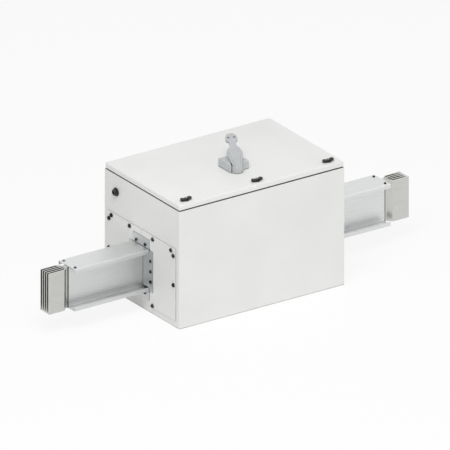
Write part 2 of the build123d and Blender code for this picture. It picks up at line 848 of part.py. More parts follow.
# Lid gasket, glued under the return flange and a hair above the rim
with BuildPart() as lid_gasket:
    with BuildSketch(Plane.XY.offset(rim_height + seal_clearance)):
        Rectangle(box_length - 2 * gasket_inset, box_depth - 2 * gasket_inset)
        gasket_hole = gasket_inset + gasket_width
        Rectangle(box_length - 2 * gasket_hole, box_depth - 2 * gasket_hole, mode=Mode.SUBTRACT)
    extrude(amount=gasket_height - seal_clearance)
lid_gasket.part.label = "lid_gasket"
export_step(lid_gasket.part, "parts/lid_gasket.step")

# Handle bush in the lid, flanged underneath
lid_underside = lid_top - lid_sheet
with BuildPart() as handle_bush:
    with BuildSketch(Plane.XY.offset(lid_underside - bush_flange_height)):
        with Locations((handle_x, handle_y)):
            Circle(bush_radius + bush_flange)
    extrude(amount=bush_flange_height)
    with BuildSketch(Plane.XY.offset(lid_underside)):
        with Locations((handle_x, handle_y)):
            Circle(bush_radius)
    extrude(amount=lid_sheet)
    with BuildSketch(Plane.XY.offset(lid_top)):
        with Locations((handle_x, handle_y)):
            Circle(spigot_radius + running_clearance)
    extrude(amount=-lid_height, mode=Mode.SUBTRACT)
handle_bush.part.label = "handle_bush"
export_step(handle_bush.part, "parts/handle_bush.step")

# Handle base block on the lid, with a round notch for the hub in its front face
with BuildPart() as handle_base:
    with BuildSketch(Plane.XY.offset(lid_top)):
        with Locations((block_x, block_y)):
            Rectangle(block_size, block_size)
        with Locations((handle_x, handle_y)):
            Circle(hub_radius + notch_gap, mode=Mode.SUBTRACT)
    extrude(amount=block_height)
    chamfer(handle_base.faces().sort_by(Axis.Z)[-1].edges(), block_edge)
    with BuildSketch(Plane.XY.offset(lid_top)):
        with Locations((block_x, block_screw_y)):
            with GridLocations(block_screw_spacing, block_screw_rows, 2, 2):
                Circle(block_screw_radius + hole_clearance)
    extrude(amount=block_screw_depth + block_screw_gap, mode=Mode.SUBTRACT)
handle_base.part.label = "handle_base"
export_step(handle_base.part, "parts/handle_base.step")

block_grip = lid_sheet + block_screw_depth
block_screw = hex_bolt(block_screw_radius, block_grip, block_screw_flats, block_screw_head_height)
with BuildPart() as handle_base_screws:
    block_corners = [
        Plane(
            origin=(
                block_x + hand * block_screw_spacing / 2,
                block_screw_y + row * block_screw_rows / 2,
                lid_underside,
            ),
            z_dir=(0, 0, -1),
        )
        for hand in (-1, 1)
        for row in (-1, 1)
    ]
    with Locations(*block_corners):
        add(block_screw)
handle_base_screws.part.label = "handle_base_screws"
export_step(handle_base_screws.part, "parts/handle_base_screws.step")


def grip_plane(offset_height):
    # Follows the grip as it climbs away from the hub
    direction = radians(handle_direction)
    climb = radians(grip_incline)
    along = (cos(direction) * cos(climb), sin(direction) * cos(climb), sin(climb))
    normal = (-cos(direction) * sin(climb), -sin(direction) * sin(climb), cos(climb))
    plane = Plane(origin=(handle_x, handle_y, lid_top + grip_rise), x_dir=along, z_dir=normal)
    return plane.offset(offset_height)


def touch_point(centre_reach, radius, corner, hand):
    # Where a line from the corner touches a circle on the grip's centre line
    across = corner[0] - centre_reach
    angle = atan2(corner[1], across) + hand * acos(radius / (across**2 + corner[1] ** 2) ** 0.5)
    return centre_reach + radius * cos(angle), radius * sin(angle)


# Handle lever: the grip swells, narrows to a neck and ends in a head with two holes, and a
# ridge rises from the hub, widens and runs out over the neck and the head
bulge_corner = (bulge_reach, bulge_width / 2)
neck_corners = [(neck_start, neck_width / 2), (neck_end, neck_width / 2)]
crown_x, crown_y = touch_point(0, crown_radius, bulge_corner, 1)
head_x, head_y = touch_point(grip_reach, head_width / 2, neck_corners[1], -1)
head_end = grip_reach + head_width / 2
with BuildSketch() as grip_outline:
    with BuildLine():
        flank = FilletPolyline(
            (crown_x, crown_y),
            bulge_corner,
            *neck_corners,
            (head_x, head_y),
            radius=[bulge_radius, neck_radius, neck_end_radius],
        )
        mirror(flank, about=Plane.XZ)
        ThreePointArc((crown_x, crown_y), (-crown_radius, 0), (crown_x, -crown_y))
        ThreePointArc((head_x, head_y), (head_end, 0), (head_x, -head_y))
    make_face()
with BuildSketch() as ridge_outline:
    with BuildLine():
        Polyline(
            (ridge_start, ridge_narrow / 2),
            (ridge_wide_reach, ridge_wide / 2),
            (head_end, ridge_wide / 2),
            (head_end, -ridge_wide / 2),
            (ridge_wide_reach, -ridge_wide / 2),
            (ridge_start, -ridge_narrow / 2),
            close=True,
        )
    make_face()
    add(grip_outline.sketch, mode=Mode.INTERSECT)
with BuildPart() as grip:
    with BuildSketch(grip_plane(-grip_drop)):
        add(grip_outline.sketch)
    extrude(amount=grip_thickness)
    fillet(grip.faces().filter_by(GeomType.PLANE).edges(), grip_edge)
    with BuildSketch(grip_plane(0)):
        add(ridge_outline.sketch)
    extrude(amount=grip_thickness - grip_drop + ridge_height)
    with BuildSketch(grip_plane(-grip_drop)):
        with Locations((grip_reach, eye_offset), (grip_reach, -eye_offset)):
            Circle(eye_radius)
    extrude(amount=grip_thickness + ridge_height, mode=Mode.SUBTRACT)

with BuildPart() as handle_lever:
    add(grip.part)
    with BuildSketch(shaft_plane(lid_top + hub_gap)):
        Circle(hub_radius)
    extrude(amount=hub_ring - hub_gap)
    with Locations(shaft_plane(lid_top + hub_ring)):
        Cone(hub_radius, crown_radius, hub_height - hub_ring, align=(Align.CENTER, Align.CENTER, Align.MIN))
    with BuildSketch(shaft_plane(lid_top + hub_gap)):
        Circle(spigot_radius)
    extrude(amount=-spigot_length)
    ring_top = lid_underside - bush_flange_height - seal_clearance
    with BuildSketch(shaft_plane(ring_top)):
        Circle(spigot_radius)
        Circle(spigot_radius - ring_groove, mode=Mode.SUBTRACT)
    extrude(amount=-ring_height, mode=Mode.SUBTRACT)
    with BuildSketch(shaft_plane(lid_top + hub_gap - spigot_length)):
        Rectangle(shaft_size + 2 * socket_clearance, shaft_size + 2 * socket_clearance)
    extrude(amount=spigot_length + socket_depth, mode=Mode.SUBTRACT)
handle_lever.part.label = "handle_lever"
export_step(handle_lever.part, "parts/handle_lever.step")

# Retaining ring of the handle, sprung into the spigot's groove
with BuildPart() as handle_ring:
    with BuildSketch(shaft_plane(ring_top)):
        Circle(spigot_radius + ring_width - ring_groove)
        Circle(spigot_radius - ring_groove, mode=Mode.SUBTRACT)
    extrude(amount=-ring_height)
handle_ring.part.label = "handle_ring"
export_step(handle_ring.part, "parts/handle_ring.step")

# Wing latches: two lobes on a round base, and the stud that reaches down to the receptacle
for latch_name, latch_x in latch_xs.items():
    with BuildPart() as wing_latch:
        with BuildSketch(Plane.XY.offset(lid_top + seal_clearance)):
            with Locations((latch_x, latch_y)):
                Circle(latch_base_radius)
        extrude(amount=latch_base_height)
        chamfer(wing_latch.faces().sort_by(Axis.Z)[-1].edges(), latch_base_edge)
        wing_bottom = lid_top + seal_clearance + latch_base_height - latch_base_edge
        lobe_x = wing_length / 2 - wing_lobe
        with BuildSketch(Plane.XY.offset(wing_bottom)):
            with Locations((latch_x - lobe_x, latch_y), (latch_x + lobe_x, latch_y)):
                Circle(wing_lobe)
            with Locations((latch_x, latch_y)):
                Rectangle(2 * lobe_x, 2 * wing_waist)
        extrude(amount=latch_height - latch_base_height + latch_base_edge)
        chamfer(wing_latch.faces().sort_by(Axis.Z)[-1].edges(), wing_edge)
        with BuildSketch(Plane.XY.offset(lid_top + seal_clearance)):
            with Locations((latch_x, latch_y)):
                Circle(stud_radius)
        extrude(amount=-stud_length)
        with BuildSketch(Plane.XY.offset(lid_underside - seal_clearance)):
            with Locations((latch_x, latch_y)):
                Circle(stud_collar)
        extrude(amount=-stud_collar_height)
    wing_latch.part.label = f"wing_latch_{latch_name}"
    export_step(wing_latch.part, f"parts/wing_latch_{latch_name}.step")

# Latch receptacles, bracketed to the inside of the front wall
stud_tip = lid_top + seal_clearance - stud_length
receptacle_top = stud_tip + receptacle_margin / 2
receptacle_depth = latch_inset - wall + receptacle_margin
with BuildPart() as latch_receptacles:
    for latch_x in latch_xs.values():
        with BuildSketch(Plane.XZ.offset(box_depth / 2 - wall)):
            with Locations((latch_x, receptacle_top)):
                Rectangle(receptacle_width, receptacle_height, align=(Align.CENTER, Align.MAX))
        extrude(amount=-receptacle_sheet)
        with BuildSketch(Plane.XY.offset(receptacle_top)):
            with Locations((latch_x, wall - box_depth / 2)):
                Rectangle(receptacle_width, receptacle_depth, align=(Align.CENTER, Align.MIN))
        extrude(amount=-receptacle_sheet)
        with BuildSketch(Plane.XY.offset(receptacle_top)):
            with Locations((latch_x, latch_y)):
                Circle(receptacle_ring)
        extrude(amount=-receptacle_ring_height)
        with BuildSketch(Plane.XY.offset(receptacle_top)):
            with Locations((latch_x, latch_y)):
                Circle(stud_radius + receptacle_clearance)
        extrude(amount=-receptacle_ring_height, mode=Mode.SUBTRACT)
latch_receptacles.part.label = "latch_receptacles"
export_step(latch_receptacles.part, "parts/latch_receptacles.step")

# Hinges along the rear edge: body leaves with two knuckles, lid leaves with one, and pins
hinge_web = hinge_leaf + hinge_gap + hinge_radius
hinge_y = box_depth / 2 + hinge_web
hinge_z = (rim_height + lid_bottom) / 2
hinge_xs = [hinge_spacing * step for step in (-1, 0, 1)]
knuckle_length = (hinge_width - hinge_middle) / 2 - hinge_gap


def knuckle(start, length, hand):
    # A barrel along X from start, joined to its leaf's side by a web above or below the pin
    with BuildPart() as piece:
        with BuildSketch(Plane.YZ.offset(start)):
            with Locations((hinge_y, hinge_z)):
                Circle(hinge_radius)
            with Locations((hinge_y - hinge_web / 2, hinge_z + hand * hinge_radius / 2)):
                Rectangle(hinge_web, hinge_radius)
            with Locations((hinge_y, hinge_z)):
                Circle(hinge_pin + running_clearance, mode=Mode.SUBTRACT)
        extrude(amount=length)
    return piece.part


with BuildPart() as hinge_body_leaves:
    for hinge_x in hinge_xs:
        with BuildSketch(Plane.XZ.offset(-box_depth / 2)):
            with Locations((hinge_x, rim_height)):
                Rectangle(hinge_width, hinge_drop, align=(Align.CENTER, Align.MAX))
        extrude(amount=-hinge_leaf)
        add(knuckle(hinge_x - hinge_width / 2, knuckle_length, -1))
        add(knuckle(hinge_x + hinge_width / 2 - knuckle_length, knuckle_length, -1))
hinge_body_leaves.part.label = "hinge_body_leaves"
export_step(hinge_body_leaves.part, "parts/hinge_body_leaves.step")

with BuildPart() as hinge_lid_leaves:
    for hinge_x in hinge_xs:
        with BuildSketch(Plane.XZ.offset(lid_inset - box_depth / 2)):
            with Locations((hinge_x, lid_bottom)):
                Rectangle(
                    hinge_width, lid_height - lid_bend - hinge_lid_top, align=(Align.CENTER, Align.MIN)
                )
        extrude(amount=-hinge_leaf)
        add(knuckle(hinge_x - hinge_middle / 2, hinge_middle, 1))
hinge_lid_leaves.part.label = "hinge_lid_leaves"
export_step(hinge_lid_leaves.part, "parts/hinge_lid_leaves.step")

with BuildPart() as hinge_pins:
    for hinge_x in hinge_xs:
        with BuildSketch(Plane.YZ.offset(hinge_x - hinge_width / 2)):
            with Locations((hinge_y, hinge_z)):
                Circle(hinge_pin)
        extrude(amount=hinge_width)
hinge_pins.part.label = "hinge_pins"
export_step(hinge_pins.part, "parts/hinge_pins.step")

# Cable gland on the line end: hexagon body and thread, domed cap, seal and locknut
gland_plane = Plane(origin=(-box_length / 2, gland_y, gland_height), x_dir=(0, 1, 0), z_dir=(-1, 0, 0))
with BuildPart() as gland_body:
    with BuildSketch(gland_plane):
        RegularPolygon(gland_flats / 2, 6, major_radius=False)
    extrude(amount=gland_hex)
    with BuildSketch(gland_plane.offset(gland_hex)):
        Circle(gland_thread)
    extrude(amount=gland_stub)
    with BuildSketch(gland_plane):
        Circle(gland_thread)
    extrude(amount=-gland_thread_length)
    with BuildSketch(gland_plane.offset(-gland_thread_length)):
        Circle(gland_inner)
    extrude(amount=gland_thread_length + gland_hex + gland_stub, mode=Mode.SUBTRACT)
gland_body.part.label = "gland_body"
export_step(gland_body.part, "parts/gland_body.step")

with BuildPart() as gland_cap:
    with BuildSketch(gland_plane.offset(gland_hex + seal_clearance)):
        Circle(gland_cap_radius)
    extrude(amount=gland_cap_length)
    chamfer(gland_cap.faces().sort_by(Axis.X)[0].edges(), gland_cap_edge)
    with BuildSketch(gland_plane.offset(gland_hex)):
        Circle(gland_thread + running_clearance)
    extrude(amount=gland_stub + running_clearance, mode=Mode.SUBTRACT)
    with BuildSketch(gland_plane):
        Circle(gland_bore)
    extrude(amount=gland_hex + gland_cap_length + gland_stub, mode=Mode.SUBTRACT)
gland_cap.part.label = "gland_cap"
export_step(gland_cap.part, "parts/gland_cap.step")

with BuildPart() as gland_seal:
    with BuildSketch(gland_plane.offset(gland_hex)):
        Circle(gland_inner)
        Circle(gland_bore, mode=Mode.SUBTRACT)
    extrude(amount=gland_stub)
gland_seal.part.label = "gland_seal"
export_step(gland_seal.part, "parts/gland_seal.step")

with BuildPart() as gland_locknut:
    with BuildSketch(gland_plane.offset(-wall)):
        RegularPolygon(gland_flats / 2, 6, major_radius=False)
        Circle(gland_thread + running_clearance, mode=Mode.SUBTRACT)
    extrude(amount=-locknut_height)
gland_locknut.part.label = "gland_locknut"
export_step(gland_locknut.part, "parts/gland_locknut.step")


def end_places(distance, side, points):
    # Screw seats on an outward face at one end, from points in that face
    return [Location(end_plane(side, distance)) * Location((across, up, 0)) for across, up in points]


# Screws of the end plates, of the brackets and of the busway covers
plate_grip = plate_sheet + wall + screw_end
plate_screw = hex_bolt(plate_screw_radius, plate_grip, plate_screw_flats, plate_screw_head_height)
with BuildPart() as end_plate_screws:
    for side in sides.values():
        with Locations(*end_places(plate_face, side, plate_screw_points(1) + plate_screw_points(-1))):
            add(plate_screw)
end_plate_screws.part.label = "end_plate_screws"
export_step(end_plate_screws.part, "parts/end_plate_screws.step")

bracket_grip = bracket_sheet + plate_sheet + screw_end
bracket_screw = hex_bolt(bracket_screw_radius, bracket_grip, bracket_screw_flats, bracket_screw_head_height)
with BuildPart() as bracket_screws:
    for side in sides.values():
        bracket_points = flange_screw_points() + side_screw_points(1) + side_screw_points(-1)
        with Locations(*end_places(bracket_face, side, bracket_points)):
            add(bracket_screw)
bracket_screws.part.label = "bracket_screws"
export_step(bracket_screws.part, "parts/bracket_screws.step")

casing_grip = cover_sheet + side_sheet + screw_end
casing_screw = hex_bolt(casing_screw_radius, casing_grip, casing_screw_flats, casing_screw_head_height)
with BuildPart() as casing_screws:
    for side in sides.values():
        for level in levels.values():
            for hand in (-1, 1):
                seat = (
                    side * (casing_end - casing_screw_end),
                    hand * (casing_width / 2 - casing_screw_edge),
                    casing_middle + level * casing_height / 2,
                )
                with Locations(Plane(origin=seat, z_dir=(0, 0, level))):
                    add(casing_screw)
casing_screws.part.label = "casing_screws"
export_step(casing_screws.part, "parts/casing_screws.step")
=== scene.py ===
import json
import math

import bmesh
import bpy
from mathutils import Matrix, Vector


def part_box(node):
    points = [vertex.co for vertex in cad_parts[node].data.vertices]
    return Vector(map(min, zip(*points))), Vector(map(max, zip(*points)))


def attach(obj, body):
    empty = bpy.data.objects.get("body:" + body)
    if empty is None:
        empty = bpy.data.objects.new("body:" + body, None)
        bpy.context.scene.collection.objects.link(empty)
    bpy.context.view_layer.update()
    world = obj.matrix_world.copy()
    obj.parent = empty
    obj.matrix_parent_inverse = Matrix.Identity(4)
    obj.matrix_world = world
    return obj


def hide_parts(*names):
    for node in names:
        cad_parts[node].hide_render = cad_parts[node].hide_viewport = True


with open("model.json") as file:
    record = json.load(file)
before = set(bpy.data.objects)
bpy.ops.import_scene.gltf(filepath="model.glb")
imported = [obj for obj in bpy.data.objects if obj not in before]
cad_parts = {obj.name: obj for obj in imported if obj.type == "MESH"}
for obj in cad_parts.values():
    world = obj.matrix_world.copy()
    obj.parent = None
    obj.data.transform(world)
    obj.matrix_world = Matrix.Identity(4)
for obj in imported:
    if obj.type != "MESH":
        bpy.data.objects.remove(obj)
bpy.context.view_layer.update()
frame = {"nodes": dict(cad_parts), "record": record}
nodes = frame["nodes"]
record = frame["record"]
bodyOfNode = {node: body for body, members in record["behaviour"]["bodies"].items() for node in members}
slotOfNode = {row["node"]: row["material_slot"] for row in record["subparts"]}
mm = 0.001
print("frame loaded:", len(nodes), "nodes")


# Materials

def linearColour(hexColour):
    channels = [int(hexColour[start:start + 2], 16) / 255 for start in (1, 3, 5)]
    return tuple(c / 12.92 if c <= 0.04045 else ((c + 0.055) / 1.055) ** 2.4 for c in channels) + (1.0,)


def addNode(tree, kind, settings=None, links=None):
    node = tree.nodes.new(kind)
    for name, value in (settings or {}).items():
        if isinstance(name, str) and name in node.bl_rna.properties:
            setattr(node, name, value)
        else:
            node.inputs[name].default_value = value
    for name, sources in (links or {}).items():
        for source in sources if isinstance(sources, list) else [sources]:
            tree.links.new(source, node.inputs[name])
    return node


def newMaterial(name, shaderSettings):
    material = bpy.data.materials.new(name)
    material.use_nodes = True
    tree = material.node_tree
    tree.nodes.clear()
    shader = addNode(tree, "ShaderNodeBsdfPrincipled", shaderSettings)
    addNode(tree, "ShaderNodeOutputMaterial", links={"Surface": shader.outputs["BSDF"]})
    place = addNode(tree, "ShaderNodeTexCoord")
    return material, tree, shader, place.outputs["Object"]


def nearness(tree, inside, distance, spread, amount):
    # Grows to the amount where other surfaces come near: outside, in joints; inside, at corners
    shade = addNode(
        tree,
        "ShaderNodeAmbientOcclusion",
        {"inside": inside, "samples": 8, "only_local": inside, "Distance": distance},
    )
    grown = addNode(
        tree,
        "ShaderNodeMapRange",
        {"From Min": spread[0], "From Max": spread[1], "To Min": 0.0, "To Max": amount},
        {"Value": shade.outputs["AO"]},
    )
    return grown.outputs["Result"]


wearAndShadeSpread = {
    # how open the surface is, or how high the noise, where wear and painted shade begin and where they are
    # full
    # dust and painted shade: darker where the surface is closed in by others, in its joints
    "dustAndShade": (0.85, 0.4),
    "rub": (0.9, 0.55),
    "patch": (0.42, 0.62),
}
paintWearAndShade = {
    # dust and painted shade on the white paint: a grey mixed in where other surfaces come near, in the joints
    "dustAndShadeHex": "#6c6b68",
    "dustAndShadeShare": 0.85,
    "dustAndShadeReach": 9 * mm,
    "rubHex": "#b9bbba",
    "rubShare": 0.5,
    "rubReach": 1.4 * mm,
    "patch": 45 * mm,
}
metalWearAndShade = {
    # dust and painted shade on metal: a dark grey mixed in where other surfaces come near, in the joints
    "dustAndShadeHex": "#55565a",
    "dustAndShadeShare": 0.6,
    "dustAndShadeReach": 6 * mm,
    "rubHex": "#f2f2f2",
    "rubShare": 0.7,
    "rubReach": 1.2 * mm,
    "patch": 30 * mm,
}
plasticWearAndShade = {
    # dust and painted shade on plastics: a grey mixed in where other surfaces come near, in the joints
    "dustAndShadeHex": "#6f6e6b",
    "dustAndShadeShare": 0.35,
    "dustAndShadeReach": 4 * mm,
    "rubShare": 0.7,
    "rubReach": 1.5 * mm,
    "patch": 12 * mm,
}


def wornAndShadedColour(tree, colour, place, wearAndShade):
    # Dust and painted shade darken the joints where other surfaces come near, and corners lose a little of
    # their finish, more in some places than others
    dustAndShade = nearness(tree, False, wearAndShade["dustAndShadeReach"], wearAndShadeSpread["dustAndShade"], wearAndShade["dustAndShadeShare"])
    corners = nearness(tree, True, wearAndShade["rubReach"], wearAndShadeSpread["rub"], 1.0)
    patches = addNode(
        tree, "ShaderNodeTexNoise", {"Scale": 1 / wearAndShade["patch"], "Detail": 4.0}, {"Vector": place}
    )
    thinned = addNode(
        tree,
        "ShaderNodeMapRange",
        {"From Min": wearAndShadeSpread["patch"][0], "From Max": wearAndShadeSpread["patch"][1], "To Max": wearAndShade["rubShare"]},
        {"Value": patches.outputs["Fac"]},
    )
    rub = addNode(
        tree, "ShaderNodeMath", {"operation": "MULTIPLY"}, {0: corners, 1: thinned.outputs["Result"]}
    )
    # first the dust and painted shade in the joints, then the rubbed corners
    for share, hexColour in ((dustAndShade, wearAndShade["dustAndShadeHex"]), (rub.outputs[0], wearAndShade["rubHex"])):
        mix = addNode(
            tree,
            "ShaderNodeMix",
            {"data_type": "RGBA", 7: linearColour(hexColour)},
            {0: share, 6: colour},
        )
        colour = mix.outputs[2]
    return colour


def layFinish(tree, shader, place, look, hexColours, wearAndShade, tones, relief):
    # What every finish has: two tones that follow a pattern, wear and painted shade over them, and a fine
    # relief
    ramp = addNode(tree, "ShaderNodeValToRGB", links={"Fac": tones})
    for element, position, hexColour in zip(ramp.color_ramp.elements, look["toneRange"], hexColours):
        element.position = position
        element.color = linearColour(hexColour)
    colour = ramp.outputs["Color"]
    if wearAndShade:
        colour = wornAndShadedColour(tree, colour, place, wearAndShade)
    tree.links.new(colour, shader.inputs["Base Color"])
    bump = addNode(
        tree,
        "ShaderNodeBump",
        {"Strength": look["reliefStrength"], "Distance": look["reliefDepth"]},
        {"Height": relief},
    )
    tree.links.new(bump.outputs["Normal"], shader.inputs["Normal"])


def variedRoughness(tree, shader, look, roughness, pattern):
    # Smoother in some places and rougher in others, round the finish's own roughness
    varied = addNode(
        tree,
        "ShaderNodeMapRange",
        {"To Min": roughness - look["smoother"], "To Max": roughness + look["rougher"]},
        {"Value": pattern},
    )
    tree.links.new(varied.outputs["Result"], shader.inputs["Roughness"])


powder = {
    "roughness": 0.42,
    "drift": 260 * mm,
    "toneRange": (0.3, 0.7),
    "peel": 5 * mm,  # 1 to 2 mm on a real coat, drawn coarser so that it shows
    "reliefDepth": 0.12 * mm,
    "reliefStrength": 0.32,
}
drawn = {
    "lineStretch": 0.02,  # of the pattern, along the way the metal was worked
    "toneRange": (0.25, 0.75),
    "smoother": 0.06,
    "rougher": 0.08,
    "reliefDepth": 0.05 * mm,
    "reliefStrength": 0.15,
}
moulded = {
    "drift": 40 * mm,
    "toneRange": (0.3, 0.7),
    "smoother": 0.08,
    "rougher": 0.08,
    "reliefDepth": 0.1 * mm,
    "reliefStrength": 0.18,
}
sponge = {
    "roughness": 0.85,
    "drift": 15 * mm,
    "toneRange": (0.3, 0.7),
    "pore": 1.2 * mm,
    "reliefDepth": 0.2 * mm,
    "reliefStrength": 0.4,
}


def powderCoat(name, darkHex, lightHex):
    # Polyester powder baked on steel: an even satin film, faint orange peel, corners rubbed a little dull
    material, tree, shader, place = newMaterial(name, {"Roughness": powder["roughness"], "IOR": 1.5})
    drift = addNode(
        tree, "ShaderNodeTexNoise", {"Scale": 1 / powder["drift"], "Detail": 3.0}, {"Vector": place}
    )
    peel = addNode(
        tree, "ShaderNodeTexNoise", {"Scale": 1 / powder["peel"], "Detail": 2.0}, {"Vector": place}
    )
    tones, relief = drift.outputs["Fac"], peel.outputs["Fac"]
    layFinish(tree, shader, place, powder, (darkHex, lightHex), paintWearAndShade, tones, relief)
    return material


def drawnMetal(name, darkHex, lightHex, roughness, direction, line):
    # Metal with lines along the way it was rolled, extruded or brushed, brighter on its corners.
    # Real lines are 0.1 mm apart or closer, drawn 1 to 3 mm apart so that they show.
    material, tree, shader, place = newMaterial(name, {"Metallic": 1.0, "Roughness": roughness})
    stretch = tuple(drawn["lineStretch"] if axis == direction else 1.0 for axis in "XYZ")
    mapping = addNode(tree, "ShaderNodeMapping", {"Scale": stretch}, {"Vector": place})
    noise = addNode(
        tree, "ShaderNodeTexNoise", {"Scale": 1 / line, "Detail": 4.0}, {"Vector": mapping.outputs["Vector"]}
    )
    lines = noise.outputs["Fac"]
    layFinish(tree, shader, place, drawn, (darkHex, lightHex), metalWearAndShade, lines, lines)
    variedRoughness(tree, shader, drawn, roughness, lines)
    return material


def mouldedPlastic(name, darkHex, lightHex, roughness, grain, rubHex):
    # Plastic from a spark-eroded mould: matt, with a pebbled grain, polished where it is touched.
    # Real grain is 0.1 to 0.3 mm, drawn at 1 mm and more so that it shows.
    material, tree, shader, place = newMaterial(name, {"Roughness": roughness, "IOR": 1.49})
    drift = addNode(
        tree, "ShaderNodeTexNoise", {"Scale": 1 / moulded["drift"], "Detail": 3.0}, {"Vector": place}
    )
    pebbles = addNode(tree, "ShaderNodeTexVoronoi", {"Scale": 1 / grain}, {"Vector": place})
    # wear and painted shade of plastics: dust and shade in the joints, and this moulding's own rubbed colour
    wearAndShade = dict(plasticWearAndShade, rubHex=rubHex)
    tones, relief = drift.outputs["Fac"], pebbles.outputs["Distance"]
    layFinish(tree, shader, place, moulded, (darkHex, lightHex), wearAndShade, tones, relief)
    variedRoughness(tree, shader, moulded, roughness, tones)
    return material


def cellRubber(name, darkHex, lightHex):
    # Closed-cell sponge: dull and black, its skin broken by pores of 0.3 mm, drawn at 1.2 mm to show
    material, tree, shader, place = newMaterial(name, {"Roughness": sponge["roughness"], "IOR": 1.45})
    drift = addNode(
        tree, "ShaderNodeTexNoise", {"Scale": 1 / sponge["drift"], "Detail": 3.0}, {"Vector": place}
    )
    pores = addNode(tree, "ShaderNodeTexVoronoi", {"Scale": 1 / sponge["pore"]}, {"Vector": place})
    tones, relief = drift.outputs["Fac"], pores.outputs["Distance"]
    layFinish(tree, shader, place, sponge, (darkHex, lightHex), None, tones, relief)
    return material


# Each finish by its slot in the record, with what its making gives the eye

materials = {
    # white powder on folded sheet: one even satin white, shaded by its folds, with dust and painted shade
    # darkening its joints
    "enclosure_paint": powderCoat("whitePowderCoat", "#e9eae8", "#eeefed"),
    # hot-dipped and rolled: a duller, cooler grey than the casing beside it
    "plate_zinc": drawnMetal("galvanisedSheet", "#bcbfc0", "#cccecf", 0.42, "Z", 3 * mm),
    # extruded: pale, with soft lines along the run
    "casing_aluminium": drawnMetal("extrudedAluminium", "#d3d4d4", "#e2e3e3", 0.46, "X", 1.6 * mm),
    # tin over drawn bar: a warm bright silver, streaked along the bar
    "bar_tin": drawnMetal("tinnedCopper", "#bfc0bd", "#d5d5d1", 0.3, "X", 1.2 * mm),
    # bare drawn bar: the only orange, with a satin shine
    "link_copper": drawnMetal("barCopper", "#b9714a", "#cf8a60", 0.32, "X", 1.2 * mm),
    # electroplated: a cool clean silver, brightest on its corners
    "zinc_steel": drawnMetal("zincPlatedSteel", "#b3b7ba", "#c9cdcf", 0.36, "Z", 1.5 * mm),
    # blackened and oiled: near black, bright only on corners that a spanner has rubbed
    "black_steel": drawnMetal("blackOxideSteel", "#17171a", "#26262a", 0.42, "Z", 1.0 * mm),
    # film wound on the bars: dark, smooth and glossier than any moulding
    "film": mouldedPlastic("polyesterFilm", "#3d3a37", "#494541", 0.3, 4 * mm, "#6a655f"),
    # pressed hot from glass-filled dough: brick red, evenly satin
    "insulation": mouldedPlastic("glassFilledPolyester", "#8a3b2b", "#984531", 0.5, 1.5 * mm, "#a85a46"),
    # pressed paper board: pale and quite matt
    "barrier": mouldedPlastic("pressBoard", "#c9c8c2", "#d4d3cd", 0.7, 1.0 * mm, "#dddcd6"),
    # thermoset moulding: charcoal, its grain fine and hard
    "breaker_plastic": mouldedPlastic("thermosetCase", "#313335", "#393b3d", 0.5, 1.2 * mm, "#505254"),
    # a lighter grey, so that the operator stands off the breaker's cover
    "operator_plastic": mouldedPlastic("operatorHousing", "#4a4c4f", "#535558", 0.45, 1.2 * mm, "#6b6d70"),
    # grey polyamide that hands have polished
    "handle_plastic": mouldedPlastic("handlePolyamide", "#b4b7b9", "#bec0c2", 0.42, 1.2 * mm, "#d2d4d5"),
    # the same polyamide, paler and rougher, since no hand rubs it
    "block_plastic": mouldedPlastic("blockPolyamide", "#bcbec0", "#c5c7c8", 0.48, 1.2 * mm, "#d6d8d9"),
    # black polyamide: soft highlights on black
    "dark_plastic": mouldedPlastic("blackPolyamide", "#161617", "#1f1f20", 0.4, 1.0 * mm, "#3a3a3b"),
    # natural acetal, turned: milky white and slippery smooth
    "bush_plastic": mouldedPlastic("acetalBush", "#dedcd2", "#e5e3da", 0.35, 2 * mm, "#ecebe4"),
    # sponge strip: the black line under the lid
    "gasket_rubber": cellRubber("closedCellSponge", "#141414", "#1d1d1d"),
    # seal of the gland: the same rubber, a shade lighter
    "green_rubber": cellRubber("sealRubber", "#1b1b1b", "#262626"),
}
print("materials:", len(materials))


# How a piece takes the place of its node

meshing = {
    "weldReach": 2e-6,  # metres, within which loose corners are one
    "flatDegrees": 0.4,
}


def newPiece(name, mesh):
    piece = bpy.data.objects.new(name, mesh)
    bpy.context.scene.collection.objects.link(piece)
    return piece


def smoothShaded(mesh, sharpDegrees):
    for polygon in mesh.polygons:
        polygon.use_smooth = True
    mesh.set_sharp_from_angle(angle=math.radians(sharpDegrees))


def applied(piece):
    # Modifiers made real, so that the piece is one plain mesh
    depsgraph = bpy.context.evaluated_depsgraph_get()
    mesh = bpy.data.meshes.new_from_object(piece.evaluated_get(depsgraph))
    piece.modifiers.clear()
    piece.data = mesh


def standIn(piece, nodeName):
    piece.data.materials.clear()
    piece.data.materials.append(materials[slotOfNode[nodeName]])
    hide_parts(nodeName)
    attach(piece, bodyOfNode[nodeName])


def mergedCopy(nodeName):
    # A copy of a node's loose triangles, with shared corners and whole flat faces
    work = bmesh.new()
    work.from_mesh(nodes[nodeName].data)
    bmesh.ops.remove_doubles(work, verts=work.verts, dist=meshing["weldReach"])
    flat = math.radians(meshing["flatDegrees"])
    bmesh.ops.dissolve_limit(work, angle_limit=flat, verts=work.verts, edges=work.edges)
    mesh = bpy.data.meshes.new(nodeName + "_form")
    work.to_mesh(mesh)
    work.free()
    return newPiece(nodeName + "_form", mesh)


def closedMesh(work, name):
    bmesh.ops.recalc_face_normals(work, faces=work.faces)
    mesh = bpy.data.meshes.new(name)
    work.to_mesh(mesh)
    work.free()
    return mesh


# Sheet, bars and machined pieces: every edge gets its small radius, in millimetres

